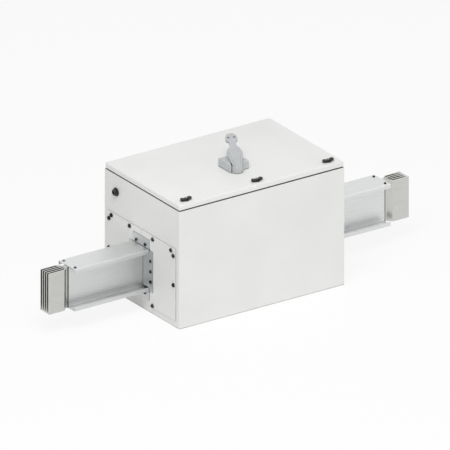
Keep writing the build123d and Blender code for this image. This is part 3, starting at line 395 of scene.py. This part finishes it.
edgeRadius = {
    "enclosure_body": 0.7,
    "lid": 0.3,
    "lid_gasket": 1.2,
    "end_plate_left_front": 0.9,
    "end_plate_left_rear": 0.9,
    "end_plate_right_front": 0.9,
    "end_plate_right_rear": 0.9,
    "flange_brackets_left": 0.5,
    "flange_brackets_right": 0.5,
    "side_brackets_left": 0.5,
    "side_brackets_right": 0.5,
    "casing_covers_left": 0.4,
    "casing_covers_right": 0.4,
    "casing_sides_left": 0.3,
    "casing_sides_right": 0.3,
    "bar_support_left": 1.2,
    "bar_support_right": 1.2,
    "line_bar_1": 0.8,
    "line_bar_2": 0.8,
    "line_bar_3": 0.8,
    "load_bar_1": 0.8,
    "load_bar_2": 0.8,
    "load_bar_3": 0.8,
    "neutral_bar": 0.8,
    "earth_bar": 0.8,
    "earth_strap": 0.5,
    "mounting_tray": 0.5,
    "tray_pillars": 0.6,
    "tray_nuts": 0.6,
    "breaker_case": 1.5,
    "breaker_cover": 1.2,
    "breaker_terminals": 0.8,
    "phase_barriers": 0.4,
    "rotary_operator": 1.0,
    "terminal_links": 1.0,
    "link_bolts": 0.6,
    "latch_receptacles": 0.4,
    "hinge_body_leaves": 0.5,
    "hinge_lid_leaves": 0.5,
    "hinge_pins": 0.4,
    "gland_body": 0.6,
    "gland_locknut": 0.6,
    "handle_bush": 0.4,
    "shaft_coupler": 0.4,
    "operating_shaft": 0.4,
}

edging = {
    "segments": 2,
    "bendDegrees": 40,  # edges that turn more than this get their radius
    "sharpDegrees": 32,
}


def softenEdges(nodeName, radius):
    piece = mergedCopy(nodeName)
    smoothShaded(piece.data, edging["sharpDegrees"])
    bevel = piece.modifiers.new("edge", "BEVEL")
    bevel.width = radius * mm
    bevel.segments = edging["segments"]
    bevel.limit_method = "ANGLE"
    bevel.angle_limit = math.radians(edging["bendDegrees"])
    bevel.harden_normals = True
    applied(piece)
    standIn(piece, nodeName)


for nodeName, radius in edgeRadius.items():
    softenEdges(nodeName, radius)
print("softened pieces:", len(edgeRadius))


# Mouldings whose edges run into each other: a fine skin over the form, then eased

skinned = {
    # node: skin cell in millimetres, and rounds of easing
    "handle_lever": (1.1, 6),
    "handle_base": (1.3, 5),
}
grip = {
    "direction": 67.0,  # degrees from +X towards +Y
    "incline": 23.5,
    "rise": 42 * mm,  # of its plane over the lid, at the hub
    "bottom": -8 * mm,
    "top": 7 * mm,
    "ridge": [  # reach and half width of the raised back, in millimetres
        (-15, 6), (-13, 11), (-6, 14.5), (5, 17), (18, 18.4), (30, 19.8), (42, 22),
        (52, 25), (61, 28.6), (70, 30.6), (78, 30.2), (84, 27.5), (88, 24), (90, 18),
    ],
    "earReach": 143 * mm,
    "earOffset": 16 * mm,
    "earRadius": 11.5 * mm,
    "eyeReach": 153 * mm,
    "eyeOffset": 13.5 * mm,
    "eyeRadius": 5.5 * mm,
    "rimRadius": 8 * mm,
    "rimHeight": 1 * mm,
    "roundSides": 32,
    "ridgeSteps": 4,
}
easing = {"factor": 0.5, "sharpDegrees": 60}


def gripPoint(reach, across, height):
    # From the grip's own plane, which climbs away from the hub, to the frame
    low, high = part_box("handle_bush")
    hub = Vector(((low.x + high.x) / 2, (low.y + high.y) / 2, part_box("lid")[1].z + grip["rise"]))
    turn = math.radians(grip["direction"])
    climb = math.radians(grip["incline"])
    along = Vector((math.cos(turn) * math.cos(climb), math.sin(turn) * math.cos(climb), math.sin(climb)))
    side = Vector((-math.sin(turn), math.cos(turn), 0))
    return hub + along * reach + side * across + along.cross(side) * height


def gripSlab(work, outline, bottom, top):
    # A closed slab over an outline of (reach, across) points
    lower = [work.verts.new(gripPoint(reach, across, bottom)) for reach, across in outline]
    upper = [work.verts.new(gripPoint(reach, across, top)) for reach, across in outline]
    for index in range(len(outline)):
        after = (index + 1) % len(outline)
        work.faces.new((lower[index], lower[after], upper[after], upper[index]))
    work.faces.new(list(reversed(lower)))
    work.faces.new(upper)


def smoothLine(points, steps):
    # A soft curve through the points
    line = []
    for index in range(len(points) - 1):
        before = points[max(index - 1, 0)]
        start, end = points[index], points[index + 1]
        after = points[min(index + 2, len(points) - 1)]
        for step in range(steps):
            part = step / steps
            line.append(tuple(
                0.5 * (
                    2 * start[axis]
                    + (end[axis] - before[axis]) * part
                    + (2 * before[axis] - 5 * start[axis] + 4 * end[axis] - after[axis]) * part**2
                    + (3 * start[axis] - before[axis] - 3 * end[axis] + after[axis]) * part**3
                )
                for axis in (0, 1)
            ))
    return line + [points[-1]]


def circleLine(reach, across, radius):
    sides = grip["roundSides"]
    return [
        (
            reach + radius * math.cos(2 * math.pi * step / sides),
            across + radius * math.sin(2 * math.pi * step / sides),
        )
        for step in range(sides)
    ]


def addGripForms(piece):
    # The back's flowing outline, the two ears of the head and the rims of its holes
    work = bmesh.new()
    work.from_mesh(piece.data)
    flank = [(reach * mm, half * mm) for reach, half in smoothLine(grip["ridge"], grip["ridgeSteps"])]
    mirrored = [(reach, -half) for reach, half in reversed(flank)]
    gripSlab(work, flank + mirrored, grip["bottom"] / 2, grip["top"])
    for hand in (-1, 1):
        ear = circleLine(grip["earReach"], hand * grip["earOffset"], grip["earRadius"])
        gripSlab(work, ear, grip["bottom"], grip["top"])
        rim = circleLine(grip["eyeReach"], hand * grip["eyeOffset"], grip["rimRadius"])
        gripSlab(work, rim, grip["bottom"] / 2, grip["top"] + grip["rimHeight"])
    bmesh.ops.recalc_face_normals(work, faces=work.faces)
    work.to_mesh(piece.data)
    work.free()


def gripHoles():
    # What the two holes of the head take away
    work = bmesh.new()
    for hand in (-1, 1):
        hole = circleLine(grip["eyeReach"], hand * grip["eyeOffset"], grip["eyeRadius"])
        gripSlab(work, hole, 2 * grip["bottom"], 2 * grip["top"])
    return newPiece("gripHoles", closedMesh(work, "gripHoles"))


def addSkin(piece, cell):
    skin = piece.modifiers.new("skin", "REMESH")
    skin.mode = "VOXEL"
    skin.voxel_size = cell * mm


def skinForm(nodeName, cell, rounds):
    piece = mergedCopy(nodeName)
    holes = None
    if nodeName == "handle_lever":
        addGripForms(piece)
        addSkin(piece, cell)
        holes = gripHoles()
        cut = piece.modifiers.new("holes", "BOOLEAN")
        cut.operation = "DIFFERENCE"
        cut.solver = "EXACT"
        cut.object = holes
    addSkin(piece, cell)
    ease = piece.modifiers.new("ease", "SMOOTH")
    ease.factor = easing["factor"]
    ease.iterations = rounds
    applied(piece)
    if holes:
        bpy.data.objects.remove(holes)
    smoothShaded(piece.data, easing["sharpDegrees"])
    standIn(piece, nodeName)


for nodeName, (cell, rounds) in skinned.items():
    skinForm(nodeName, cell, rounds)
print("skinned mouldings:", len(skinned))


# Node trees: named inputs, and at the end the parts joined, made real and given their material

def newTree(name, inputs):
    tree = bpy.data.node_groups.new(name, "GeometryNodeTree")
    tree.interface.new_socket("Geometry", in_out="INPUT", socket_type="NodeSocketGeometry")
    for label, kind in inputs.items():
        tree.interface.new_socket(label, in_out="INPUT", socket_type="NodeSocket" + kind)
    tree.interface.new_socket("Geometry", in_out="OUTPUT", socket_type="NodeSocketGeometry")
    return tree, addNode(tree, "NodeGroupInput").outputs


def finishTree(tree, parts, material):
    joined = addNode(tree, "GeometryNodeJoinGeometry", links={"Geometry": parts})
    real = addNode(tree, "GeometryNodeRealizeInstances", links={"Geometry": joined.outputs["Geometry"]})
    painted = addNode(
        tree, "GeometryNodeSetMaterial", {"Material": material}, {"Geometry": real.outputs["Geometry"]}
    )
    addNode(tree, "NodeGroupOutput", links={"Geometry": painted.outputs["Geometry"]})
    return tree


def runTree(piece, tree, sizes):
    modifier = piece.modifiers.new("tree", "NODES")
    modifier.node_group = tree
    for item in tree.interface.items_tree:
        if item.in_out == "INPUT" and item.name in sizes:
            modifier[item.identifier] = sizes[item.name]
    applied(piece)


# Hexagon screws, one on every seat of a screw node

hexScrew = {
    "washerShare": 1.12,  # of the head's corner radius
    "washerThickness": 1.4 * mm,
    "landShare": 0.8,  # round top land, as a share of the corner radius
    "chamferSlope": 1.75,  # outwards for each unit down
    "shankShare": 0.53,
    "chamferSides": 36,
    "washerSides": 32,
    "shankSides": 20,
    "turnRange": 1.05,  # a sixth of a turn, past which a hexagon looks the same again
    "turnSeed": 7,
    "sharpDegrees": 25,
    "cornerShare": 0.9,  # past this share of its radius, a solid's corners are its head's
}


def screwSeats(nodeName, along):
    # Seat, direction, corner radius, head height and shank length of each solid of a screw node
    work = bmesh.new()
    work.from_mesh(nodes[nodeName].data)
    bmesh.ops.remove_doubles(work, verts=work.verts, dist=meshing["weldReach"])
    seats = []
    seen = set()
    for start in work.verts:
        if start in seen:
            continue
        seen.add(start)
        island = [start]
        for vert in island:
            for edge in vert.link_edges:
                other = edge.other_vert(vert)
                if other not in seen:
                    seen.add(other)
                    island.append(other)
        low = Vector([min(v.co[axis] for v in island) for axis in range(3)])
        high = Vector([max(v.co[axis] for v in island) for axis in range(3)])
        middle = (low + high) / 2
        across = [axis for axis in range(3) if axis != along]
        radius = max(high[axis] - low[axis] for axis in across) / 2
        headReach = hexScrew["cornerShare"] * radius
        corners = [
            v.co[along] for v in island if sum((v.co - middle)[axis] ** 2 for axis in across) > headReach**2
        ]
        facing = Vector((0, 0, 0))
        facing[along] = 1 if sum(corners) / len(corners) > middle[along] else -1
        seat = middle.copy()
        seat[along] = min(corners) if facing[along] > 0 else max(corners)
        height = max(corners) - min(corners)
        seats.append((seat, facing, radius, height, high[along] - low[along] - height))
    work.free()
    return seats


def screwSizes(cornerRadius, headHeight, shankRadius, shankLength):
    land = cornerRadius * hexScrew["landShare"]
    return {
        "cornerRadius": cornerRadius,
        "headHeight": headHeight,
        "headLift": (0, 0, headHeight / 2),
        "landRadius": land,
        "coneRadius": land + 2 * headHeight * hexScrew["chamferSlope"],
        "coneHeight": 2 * headHeight,
        "coneDrop": (0, 0, -headHeight),
        "washerRadius": cornerRadius * hexScrew["washerShare"],
        "washerThickness": hexScrew["washerThickness"],
        "washerLift": (0, 0, hexScrew["washerThickness"] / 2),
        "shankRadius": shankRadius,
        "shankLength": shankLength,
        "shankDrop": (0, 0, -shankLength / 2),
    }


def screwTree(name, sizes, material):
    # Chamfered hexagon head, washer and shank on each point, turned to face outwards
    kinds = {label: "Vector" if isinstance(value, tuple) else "Float" for label, value in sizes.items()}
    tree, given = newTree(name, kinds)
    solids = {
        # radii, height, sides and place of each
        "head": ("Cylinder", {"Radius": "cornerRadius", "Depth": "headHeight"}, 6, "headLift"),
        "cone": (
            "Cone",
            {"Radius Top": "landRadius", "Radius Bottom": "coneRadius", "Depth": "coneHeight"},
            hexScrew["chamferSides"],
            "coneDrop",
        ),
        "washer": (
            "Cylinder",
            {"Radius": "washerRadius", "Depth": "washerThickness"},
            hexScrew["washerSides"],
            "washerLift",
        ),
        "shank": (
            "Cylinder",
            {"Radius": "shankRadius", "Depth": "shankLength"},
            hexScrew["shankSides"],
            "shankDrop",
        ),
    }
    placed = {}
    for label, (shape, measures, sides, place) in solids.items():
        solid = addNode(
            tree,
            "GeometryNodeMesh" + shape,
            {"Vertices": sides},
            {socket: given[measure] for socket, measure in measures.items()},
        )
        moved = addNode(
            tree,
            "GeometryNodeTransform",
            links={"Geometry": solid.outputs["Mesh"], "Translation": given[place]},
        )
        placed[label] = moved.outputs["Geometry"]
    head = addNode(
        tree,
        "GeometryNodeMeshBoolean",
        {"operation": "INTERSECT", "solver": "EXACT"},
        {"Mesh 2": [placed["head"], placed["cone"]]},
    )
    screw = addNode(
        tree,
        "GeometryNodeJoinGeometry",
        links={"Geometry": [head.outputs["Mesh"], placed["washer"], placed["shank"]]},
    )
    facing = addNode(tree, "GeometryNodeInputNamedAttribute", {"data_type": "FLOAT_VECTOR", "Name": "facing"})
    outwards = addNode(
        tree, "FunctionNodeAlignRotationToVector", {"axis": "Z"}, {"Vector": facing.outputs["Attribute"]}
    )
    chance = addNode(
        tree,
        "FunctionNodeRandomValue",
        {"data_type": "FLOAT", 2: 0.0, 3: hexScrew["turnRange"], 8: hexScrew["turnSeed"]},
    )
    spin = addNode(tree, "ShaderNodeCombineXYZ", links={"Z": chance.outputs[1]})
    turn = addNode(
        tree,
        "FunctionNodeRotateRotation",
        {"rotation_space": "LOCAL"},
        {"Rotation": outwards.outputs["Rotation"], "Rotate By": spin.outputs["Vector"]},
    )
    screws = addNode(
        tree,
        "GeometryNodeInstanceOnPoints",
        links={
            "Points": given["Geometry"],
            "Instance": screw.outputs["Geometry"],
            "Rotation": turn.outputs["Rotation"],
        },
    )
    return finishTree(tree, [screws.outputs["Instances"]], material)


def screwsOn(name, seats, sizes, material):
    # A screw on each seat, given as its place and the way it faces
    mesh = bpy.data.meshes.new(name)
    mesh.from_pydata([place for place, _ in seats], [], [])
    facingRow = mesh.attributes.new("facing", "FLOAT_VECTOR", "POINT")
    for index, (_, facing) in enumerate(seats):
        facingRow.data[index].vector = facing
    piece = newPiece(name, mesh)
    runTree(piece, screwTree(name + "_tree", sizes, material), sizes)
    smoothShaded(piece.data, hexScrew["sharpDegrees"])
    return piece


def dressScrews(nodeName, along):
    seats = screwSeats(nodeName, along)
    _, _, radius, height, length = seats[0]
    sizes = screwSizes(radius, height, radius * hexScrew["shankShare"], length)
    places = [(seat, facing) for seat, facing, *_ in seats]
    piece = screwsOn(nodeName + "_dressed", places, sizes, materials[slotOfNode[nodeName]])
    standIn(piece, nodeName)
    print("screws on", nodeName, len(seats))


alongX, alongZ = 0, 2  # numbers of the axes that the screws point along
dressScrews("end_plate_screws", alongX)
dressScrews("bracket_screws", alongX)
dressScrews("casing_screws", alongZ)
dressScrews("handle_base_screws", alongZ)


# Turned pieces

def turned(work, profile, centre, axis, sides, closed):
    # Rings of a (radius, height) profile round an axis through the centre, poles closed
    side = Vector((0, 1, 0)) if abs(axis.y) < 0.5 else Vector((1, 0, 0))
    first = axis.cross(side).normalized()
    second = axis.cross(first)
    rings = []
    for radius, height in profile:
        if radius == 0:
            rings.append([work.verts.new(centre + axis * height)])
            continue
        rings.append([
            work.verts.new(
                centre + axis * height
                + first * (radius * math.cos(2 * math.pi * step / sides))
                + second * (radius * math.sin(2 * math.pi * step / sides))
            )
            for step in range(sides)
        ])
    pairs = list(zip(rings, rings[1:]))
    if closed:
        pairs.append((rings[-1], rings[0]))
    for lower, upper in pairs:
        for step in range(sides):
            after = (step + 1) % sides
            corners = [lower[step % len(lower)], lower[after % len(lower)]]
            corners += [upper[after % len(upper)], upper[step % len(upper)]]
            kept = list(dict.fromkeys(corners))
            if len(kept) > 2:
                work.faces.new(kept)


def arcPoints(centreRadius, centreHeight, radius, start, end, count):
    return [
        (
            centreRadius + radius * math.cos(math.radians(start + (end - start) * step / count)),
            centreHeight + radius * math.sin(math.radians(start + (end - start) * step / count)),
        )
        for step in range(count + 1)
    ]


# Wing latches: two lobes that swell from a waisted middle, on a turned base with its stud

wingLatch = {
    "lidGap": 0.3 * mm,
    "baseRadius": 15 * mm,
    "baseHeight": 5 * mm,
    "baseFoot": 0.4 * mm,
    "baseEdge": 1.2 * mm,
    "baseSides": 48,
    "studRadius": 4 * mm,
    "studTip": 1.6 * mm,
    "collarRadius": 7 * mm,
    "collarDrop": 2.6 * mm,
    "collarHeight": 3 * mm,
    "halfLength": 30 * mm,
    "lobeRadius": 10 * mm,
    "tipDrop": 2.5 * mm,
    "waist": 6.2 * mm,
    "wingBottom": 4 * mm,
    "middleTop": 10.6 * mm,
    "squareness": 3.2,
    "stations": 44,
    "ringSides": 28,
    "crownRadius": 7.5 * mm,
    "crownTop": 12.6 * mm,
    "crownEdge": 1 * mm,
    "crownSides": 40,
    "crownLand": 2.4 * mm,  # from the crown's rim inwards, as are the next three
    "wellEdge": 2.8 * mm,
    "studEdge": 3.2 * mm,
    "brightEdge": 3.4 * mm,
    "wellDepth": 1 * mm,
    "studEndDrop": 0.4 * mm,
    "brightDepth": 2 * mm,  # what lies higher than this below the top, and further in, is bare zinc
    "sharpDegrees": 40,
}


def latchTurnings(work, centre, low, base):
    # Stud with its collar and the base on the lid in one profile, and the crown round the stud's end
    size = wingLatch
    upwards = Vector((0, 0, 1))
    collarTop = base - size["collarDrop"]
    collarLow = collarTop - size["collarHeight"]
    baseTop = base + size["baseHeight"]
    edge = size["baseEdge"]
    stud = [
        (0, low),
        (size["studRadius"] - size["studTip"], low),
        (size["studRadius"], low + size["studTip"]),
        (size["studRadius"], collarLow),
        (size["collarRadius"], collarLow),
        (size["collarRadius"], collarTop),
        (size["studRadius"], collarTop),
        (size["studRadius"], base),
        (size["baseRadius"] - size["baseFoot"], base),
        (size["baseRadius"], base + size["baseFoot"]),
    ]
    stud += arcPoints(size["baseRadius"] - edge, baseTop - edge, edge, 0, 90, 5)
    stud += [(0, baseTop)]
    turned(work, stud, centre, upwards, size["baseSides"], False)
    rim, top, edge = size["crownRadius"], base + size["crownTop"], size["crownEdge"]
    crown = [(0, base + size["wingBottom"]), (rim, base + size["wingBottom"])]
    crown += arcPoints(rim - edge, top - edge, edge, 0, 90, 4)
    crown += [
        (rim - size["crownLand"], top),
        (rim - size["wellEdge"], top - size["wellDepth"]),
        (rim - size["studEdge"], top - size["wellDepth"]),
        (0, top - size["studEndDrop"]),
    ]
    turned(work, crown, centre, upwards, size["crownSides"], False)


def wingStation(along, fullTop):
    # Half width and top of the wing at a distance along it
    size = wingLatch
    reach = abs(along)
    lobeStart = size["halfLength"] - size["lobeRadius"]
    if reach > lobeStart:
        width = math.sqrt(max(size["lobeRadius"] ** 2 - (reach - lobeStart) ** 2, 0))
        top = fullTop - size["tipDrop"] * ((reach - lobeStart) / size["lobeRadius"]) ** 2
    else:
        swell = 0.5 - 0.5 * math.cos(math.pi * reach / lobeStart)
        width = size["waist"] + (size["lobeRadius"] - size["waist"]) * swell
        top = size["middleTop"] + (fullTop - size["middleTop"]) * swell
    return width, top


def latchWings(work, centre, base, fullTop):
    # Rounded-square rings from tip to tip, closer together at the tips
    size = wingLatch
    rings = []
    for step in range(1, size["stations"]):
        along = -size["halfLength"] * math.cos(math.pi * step / size["stations"])
        width, top = wingStation(along, fullTop)
        middle = (size["wingBottom"] + top) / 2
        half = (top - size["wingBottom"]) / 2
        ring = []
        for corner in range(size["ringSides"]):
            angle = 2 * math.pi * corner / size["ringSides"]
            across, up = (
                math.copysign(abs(part) ** (2 / size["squareness"]), part)
                for part in (math.cos(angle), math.sin(angle))
            )
            ring.append(work.verts.new(centre + Vector((along, width * across, base + middle + half * up))))
        rings.append(ring)
    for lower, upper in zip(rings, rings[1:]):
        for corner in range(size["ringSides"]):
            after = (corner + 1) % size["ringSides"]
            work.faces.new((lower[corner], lower[after], upper[after], upper[corner]))
    work.faces.new(list(reversed(rings[0])))
    work.faces.new(rings[-1])


def makeWingLatch(nodeName):
    low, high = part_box(nodeName)
    centre = Vector(((low.x + high.x) / 2, (low.y + high.y) / 2, 0))
    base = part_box("lid")[1].z + wingLatch["lidGap"]
    work = bmesh.new()
    latchTurnings(work, centre, low.z, base)
    latchWings(work, centre, base, high.z - base)
    piece = newPiece(nodeName + "_form", closedMesh(work, nodeName + "_form"))
    smoothShaded(piece.data, wingLatch["sharpDegrees"])
    standIn(piece, nodeName)
    piece.data.materials.append(materials["zinc_steel"])
    brightReach = wingLatch["crownRadius"] - wingLatch["brightEdge"]
    brightLow = base + wingLatch["crownTop"] - wingLatch["brightDepth"]
    for face in piece.data.polygons:
        reach = math.hypot(face.center.x - centre.x, face.center.y - centre.y)
        face.material_index = 1 if face.center.z > brightLow and reach < brightReach else 0


for nodeName in ("wing_latch_left", "wing_latch_centre", "wing_latch_right"):
    makeWingLatch(nodeName)
print("wing latches made")


# Cable gland cap: a domed nut with grip ribs round it

glandCap = {
    "radius": 15.2 * mm,
    "backEdge": 0.6 * mm,
    "domeRadius": 4.5 * mm,
    "faceRadius": 9.5 * mm,
    "boreRadius": 6.5 * mm,
    "boreEdge": 0.8 * mm,
    "hollowRadius": 12.6 * mm,
    "hollowDepth": 9.1 * mm,
    "sides": 64,
    "domeSteps": 8,
    "ribCount": 16,
    "ribSides": 10,
    "ribRadius": 1.3 * mm,
    "ribLength": 6.4 * mm,
    "ribSink": 0.5 * mm,
    "sharpDegrees": 35,
}


def ribTree(material):
    # Round ribs on a circle about Z, laid along X and joined to the cap that comes in
    inputs = {"ribCount": "Int", "circleRadius": "Float", "ribRadius": "Float", "ribLength": "Float"}
    inputs["ribMiddle"] = "Vector"
    tree, given = newTree("glandRibs", inputs)
    circle = addNode(
        tree,
        "GeometryNodeMeshCircle",
        links={"Vertices": given["ribCount"], "Radius": given["circleRadius"]},
    )
    rib = addNode(
        tree,
        "GeometryNodeMeshCylinder",
        {"Vertices": glandCap["ribSides"]},
        {"Radius": given["ribRadius"], "Depth": given["ribLength"]},
    )
    ribs = addNode(
        tree,
        "GeometryNodeInstanceOnPoints",
        links={"Points": circle.outputs["Mesh"], "Instance": rib.outputs["Mesh"]},
    )
    laid = addNode(
        tree,
        "GeometryNodeTransform",
        {"Rotation": (0, math.radians(90), 0)},
        {"Geometry": ribs.outputs["Instances"], "Translation": given["ribMiddle"]},
    )
    return finishTree(tree, [given["Geometry"], laid.outputs["Geometry"]], material)


def makeGlandCap():
    low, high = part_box("gland_cap")
    length = high.x - low.x
    centre = Vector((high.x, (low.y + high.y) / 2, (low.z + high.z) / 2))
    size = glandCap
    dome = size["domeRadius"]
    profile = [
        (size["hollowRadius"], 0),
        (size["radius"] - size["backEdge"], 0),
        (size["radius"], size["backEdge"]),
    ]
    profile += arcPoints(size["radius"] - dome, length - dome, dome, 0, 90, size["domeSteps"])
    profile += [
        (size["faceRadius"], length),
        (size["boreRadius"] + size["boreEdge"], length),
        (size["boreRadius"], length - size["boreEdge"]),
        (size["boreRadius"], size["hollowDepth"]),
        (size["hollowRadius"], size["hollowDepth"]),
    ]
    work = bmesh.new()
    turned(work, profile, centre, Vector((-1, 0, 0)), size["sides"], True)
    piece = newPiece("gland_cap_form", closedMesh(work, "gland_cap_form"))
    sizes = {
        "ribCount": size["ribCount"],
        "circleRadius": size["radius"] - size["ribSink"],
        "ribRadius": size["ribRadius"],
        "ribLength": size["ribLength"],
        "ribMiddle": centre - Vector((size["backEdge"] + size["ribLength"] / 2, 0, 0)),
    }
    runTree(piece, ribTree(materials["dark_plastic"]), sizes)
    smoothShaded(piece.data, size["sharpDegrees"])
    standIn(piece, "gland_cap")


makeGlandCap()
print("gland cap made")


# Breaker cover: rows of vent ribs by the terminals, and the screws that hold it on its case

coverVents = {
    "ribCount": 12,
    "ribPitch": 15.5 * mm,
    "ribLength": 18 * mm,
    "ribWidth": 5 * mm,
    "ribHeight": 1.4 * mm,
    "ribCorner": 2.3 * mm,
    "cornerSteps": 4,
    "endGap": 14 * mm,  # from the cover's end to the middle of the row
    "sharpDegrees": 35,
}
coverScrews = {
    "cornerRadius": 4.6 * mm,
    "headHeight": 2.6 * mm,
    "shankRadius": 2 * mm,
    "shankLength": 6 * mm,
    "inset": 30 * mm,
    "sideInset": 12 * mm,
}


def ventTree(material):
    # Rounded ribs in a row along Y, one row at each end, joined to the cover that comes in
    inputs = {"ribCount": "Int"}
    inputs.update(dict.fromkeys(("ribLength", "ribWidth", "ribHeight", "ribCorner"), "Float"))
    inputs.update(dict.fromkeys(("rowStart", "ribStep", "rowShift"), "Vector"))
    tree, given = newTree("coverVents", inputs)
    outline = addNode(
        tree,
        "GeometryNodeCurvePrimitiveQuadrilateral",
        links={"Width": given["ribLength"], "Height": given["ribWidth"]},
    )
    rounded = addNode(
        tree,
        "GeometryNodeFilletCurve",
        {"mode": "POLY", "Count": coverVents["cornerSteps"], "Limit Radius": True},
        {"Curve": outline.outputs["Curve"], "Radius": given["ribCorner"]},
    )
    face = addNode(tree, "GeometryNodeFillCurve", links={"Curve": rounded.outputs["Curve"]})
    rib = addNode(
        tree,
        "GeometryNodeExtrudeMesh",
        {"Individual": False},
        {"Mesh": face.outputs["Mesh"], "Offset Scale": given["ribHeight"]},
    )
    row = addNode(
        tree,
        "GeometryNodeMeshLine",
        links={"Count": given["ribCount"], "Start Location": given["rowStart"], "Offset": given["ribStep"]},
    )
    other = addNode(
        tree,
        "GeometryNodeTransform",
        links={"Geometry": row.outputs["Mesh"], "Translation": given["rowShift"]},
    )
    rows = addNode(
        tree,
        "GeometryNodeJoinGeometry",
        links={"Geometry": [row.outputs["Mesh"], other.outputs["Geometry"]]},
    )
    ribs = addNode(
        tree,
        "GeometryNodeInstanceOnPoints",
        links={"Points": rows.outputs["Geometry"], "Instance": rib.outputs["Mesh"]},
    )
    return finishTree(tree, [given["Geometry"], ribs.outputs["Instances"]], material)


def dressBreakerCover():
    low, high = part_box("breaker_cover")
    piece = bpy.data.objects["breaker_cover_form"]
    rowLength = coverVents["ribPitch"] * (coverVents["ribCount"] - 1)
    sizes = dict(coverVents)
    sizes["rowStart"] = (low.x + coverVents["endGap"], (low.y + high.y - rowLength) / 2, high.z)
    sizes["ribStep"] = (0, coverVents["ribPitch"], 0)
    sizes["rowShift"] = (high.x - low.x - 2 * coverVents["endGap"], 0, 0)
    runTree(piece, ventTree(materials["breaker_plastic"]), sizes)
    smoothShaded(piece.data, coverVents["sharpDegrees"])
    inset, sideInset = coverScrews["inset"], coverScrews["sideInset"]
    seats = [
        ((x, y, high.z), (0, 0, 1))
        for x in (low.x + inset, high.x - inset)
        for y in (low.y + sideInset, (low.y + high.y) / 2, high.y - sideInset)
    ]
    head = coverScrews["cornerRadius"], coverScrews["headHeight"]
    shank = coverScrews["shankRadius"], coverScrews["shankLength"]
    screws = screwsOn("cover_screws", seats, screwSizes(*head, *shank), materials["zinc_steel"])
    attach(screws, bodyOfNode["breaker_cover"])


dressBreakerCover()
print("breaker cover dressed")


# Every other node keeps its own shape and gets its finish

for nodeName, node in nodes.items():
    for materialSlot in node.material_slots:
        materialSlot.material = materials[slotOfNode[nodeName]]
print("finishes set")


# Floor, light and camera

studio = {
    "floorHex": "#f4f4f3",
    "floorSize": 30.0,
    "floorGlow": 0.85,  # share of plain white that the camera sees, so that shadows stay soft
    "keyStrength": 235.0,
    "keySize": 4.0,
    "keyPlace": (-2.4, -2.6, 6.0),
    "fillStrength": 62.0,
    "fillSize": 5.0,
    "fillPlace": (5.0, -4.5, 2.6),
    "lampAim": (0, 0, 0.3),
    "worldStrength": 0.5,
}


def seenPlainly(tree):
    # 1 where the camera, or a reflection or glass, looks at the backdrop
    path = addNode(tree, "ShaderNodeLightPath")
    first = addNode(
        tree,
        "ShaderNodeMath",
        {"operation": "MAXIMUM"},
        {0: path.outputs["Is Camera Ray"], 1: path.outputs["Is Glossy Ray"]},
    )
    second = addNode(
        tree,
        "ShaderNodeMath",
        {"operation": "MAXIMUM"},
        {0: first.outputs[0], 1: path.outputs["Is Transmission Ray"]},
    )
    return second.outputs[0]


def makeFloor():
    half = studio["floorSize"] / 2
    mesh = bpy.data.meshes.new("floor")
    corners = [(-half, -half, 0), (half, -half, 0), (half, half, 0), (-half, half, 0)]
    mesh.from_pydata(corners, [], [(0, 1, 2, 3)])
    floor = newPiece("floor", mesh)
    material = bpy.data.materials.new("paleFloor")
    material.use_nodes = True
    tree = material.node_tree
    tree.nodes.clear()
    matt = addNode(tree, "ShaderNodeBsdfDiffuse", {"Color": linearColour(studio["floorHex"])})
    glow = addNode(tree, "ShaderNodeEmission", {"Color": (1, 1, 1, 1), "Strength": 1.0})
    share = addNode(
        tree, "ShaderNodeMath", {"operation": "MULTIPLY", 1: studio["floorGlow"]}, {0: seenPlainly(tree)}
    )
    mix = addNode(
        tree,
        "ShaderNodeMixShader",
        links={0: share.outputs[0], 1: matt.outputs["BSDF"], 2: glow.outputs["Emission"]},
    )
    addNode(tree, "ShaderNodeOutputMaterial", links={"Surface": mix.outputs["Shader"]})
    mesh.materials.append(material)


def makeLamp(name, strength, size, place):
    data = bpy.data.lights.new(name, "AREA")
    data.energy = strength
    data.size = size
    lamp = bpy.data.objects.new(name, data)
    lamp.location = place
    lamp.rotation_euler = (Vector(studio["lampAim"]) - Vector(place)).to_track_quat("-Z", "Y").to_euler()
    bpy.context.scene.collection.objects.link(lamp)


def makeWorld():
    world = bpy.data.worlds.new("studio")
    world.use_nodes = True
    tree = world.node_tree
    background = tree.nodes["Background"]
    background.inputs["Color"].default_value = (1, 1, 1, 1)
    strength = addNode(
        tree,
        "ShaderNodeMapRange",
        {"To Min": studio["worldStrength"], "To Max": 1.0},
        {"Value": seenPlainly(tree)},
    )
    tree.links.new(strength.outputs["Result"], background.inputs["Strength"])
    bpy.context.scene.world = world


view = {
    "azimuth": 34.2,  # degrees from +Y towards +X
    "elevation": 23.6,
    "metresWide": 2.027,
    "target": (0.0019, -0.0013, 0.295),
    "distance": 7.0,
}


def makeCamera():
    data = bpy.data.cameras.new("camera")
    data.type = "ORTHO"
    data.ortho_scale = view["metresWide"]
    turn = math.radians(view["azimuth"])
    tilt = math.radians(view["elevation"])
    look = Vector((math.sin(turn) * math.cos(tilt), math.cos(turn) * math.cos(tilt), -math.sin(tilt)))
    camera = bpy.data.objects.new("camera", data)
    camera.location = Vector(view["target"]) - look * view["distance"]
    camera.rotation_euler = look.to_track_quat("-Z", "Y").to_euler()
    bpy.context.scene.collection.objects.link(camera)
    bpy.context.scene.camera = camera


makeFloor()
makeLamp("key", studio["keyStrength"], studio["keySize"], studio["keyPlace"])
makeLamp("fill", studio["fillStrength"], studio["fillSize"], studio["fillPlace"])
makeWorld()
makeCamera()
bpy.context.scene.view_settings.view_transform = "Standard"
print("studio set")
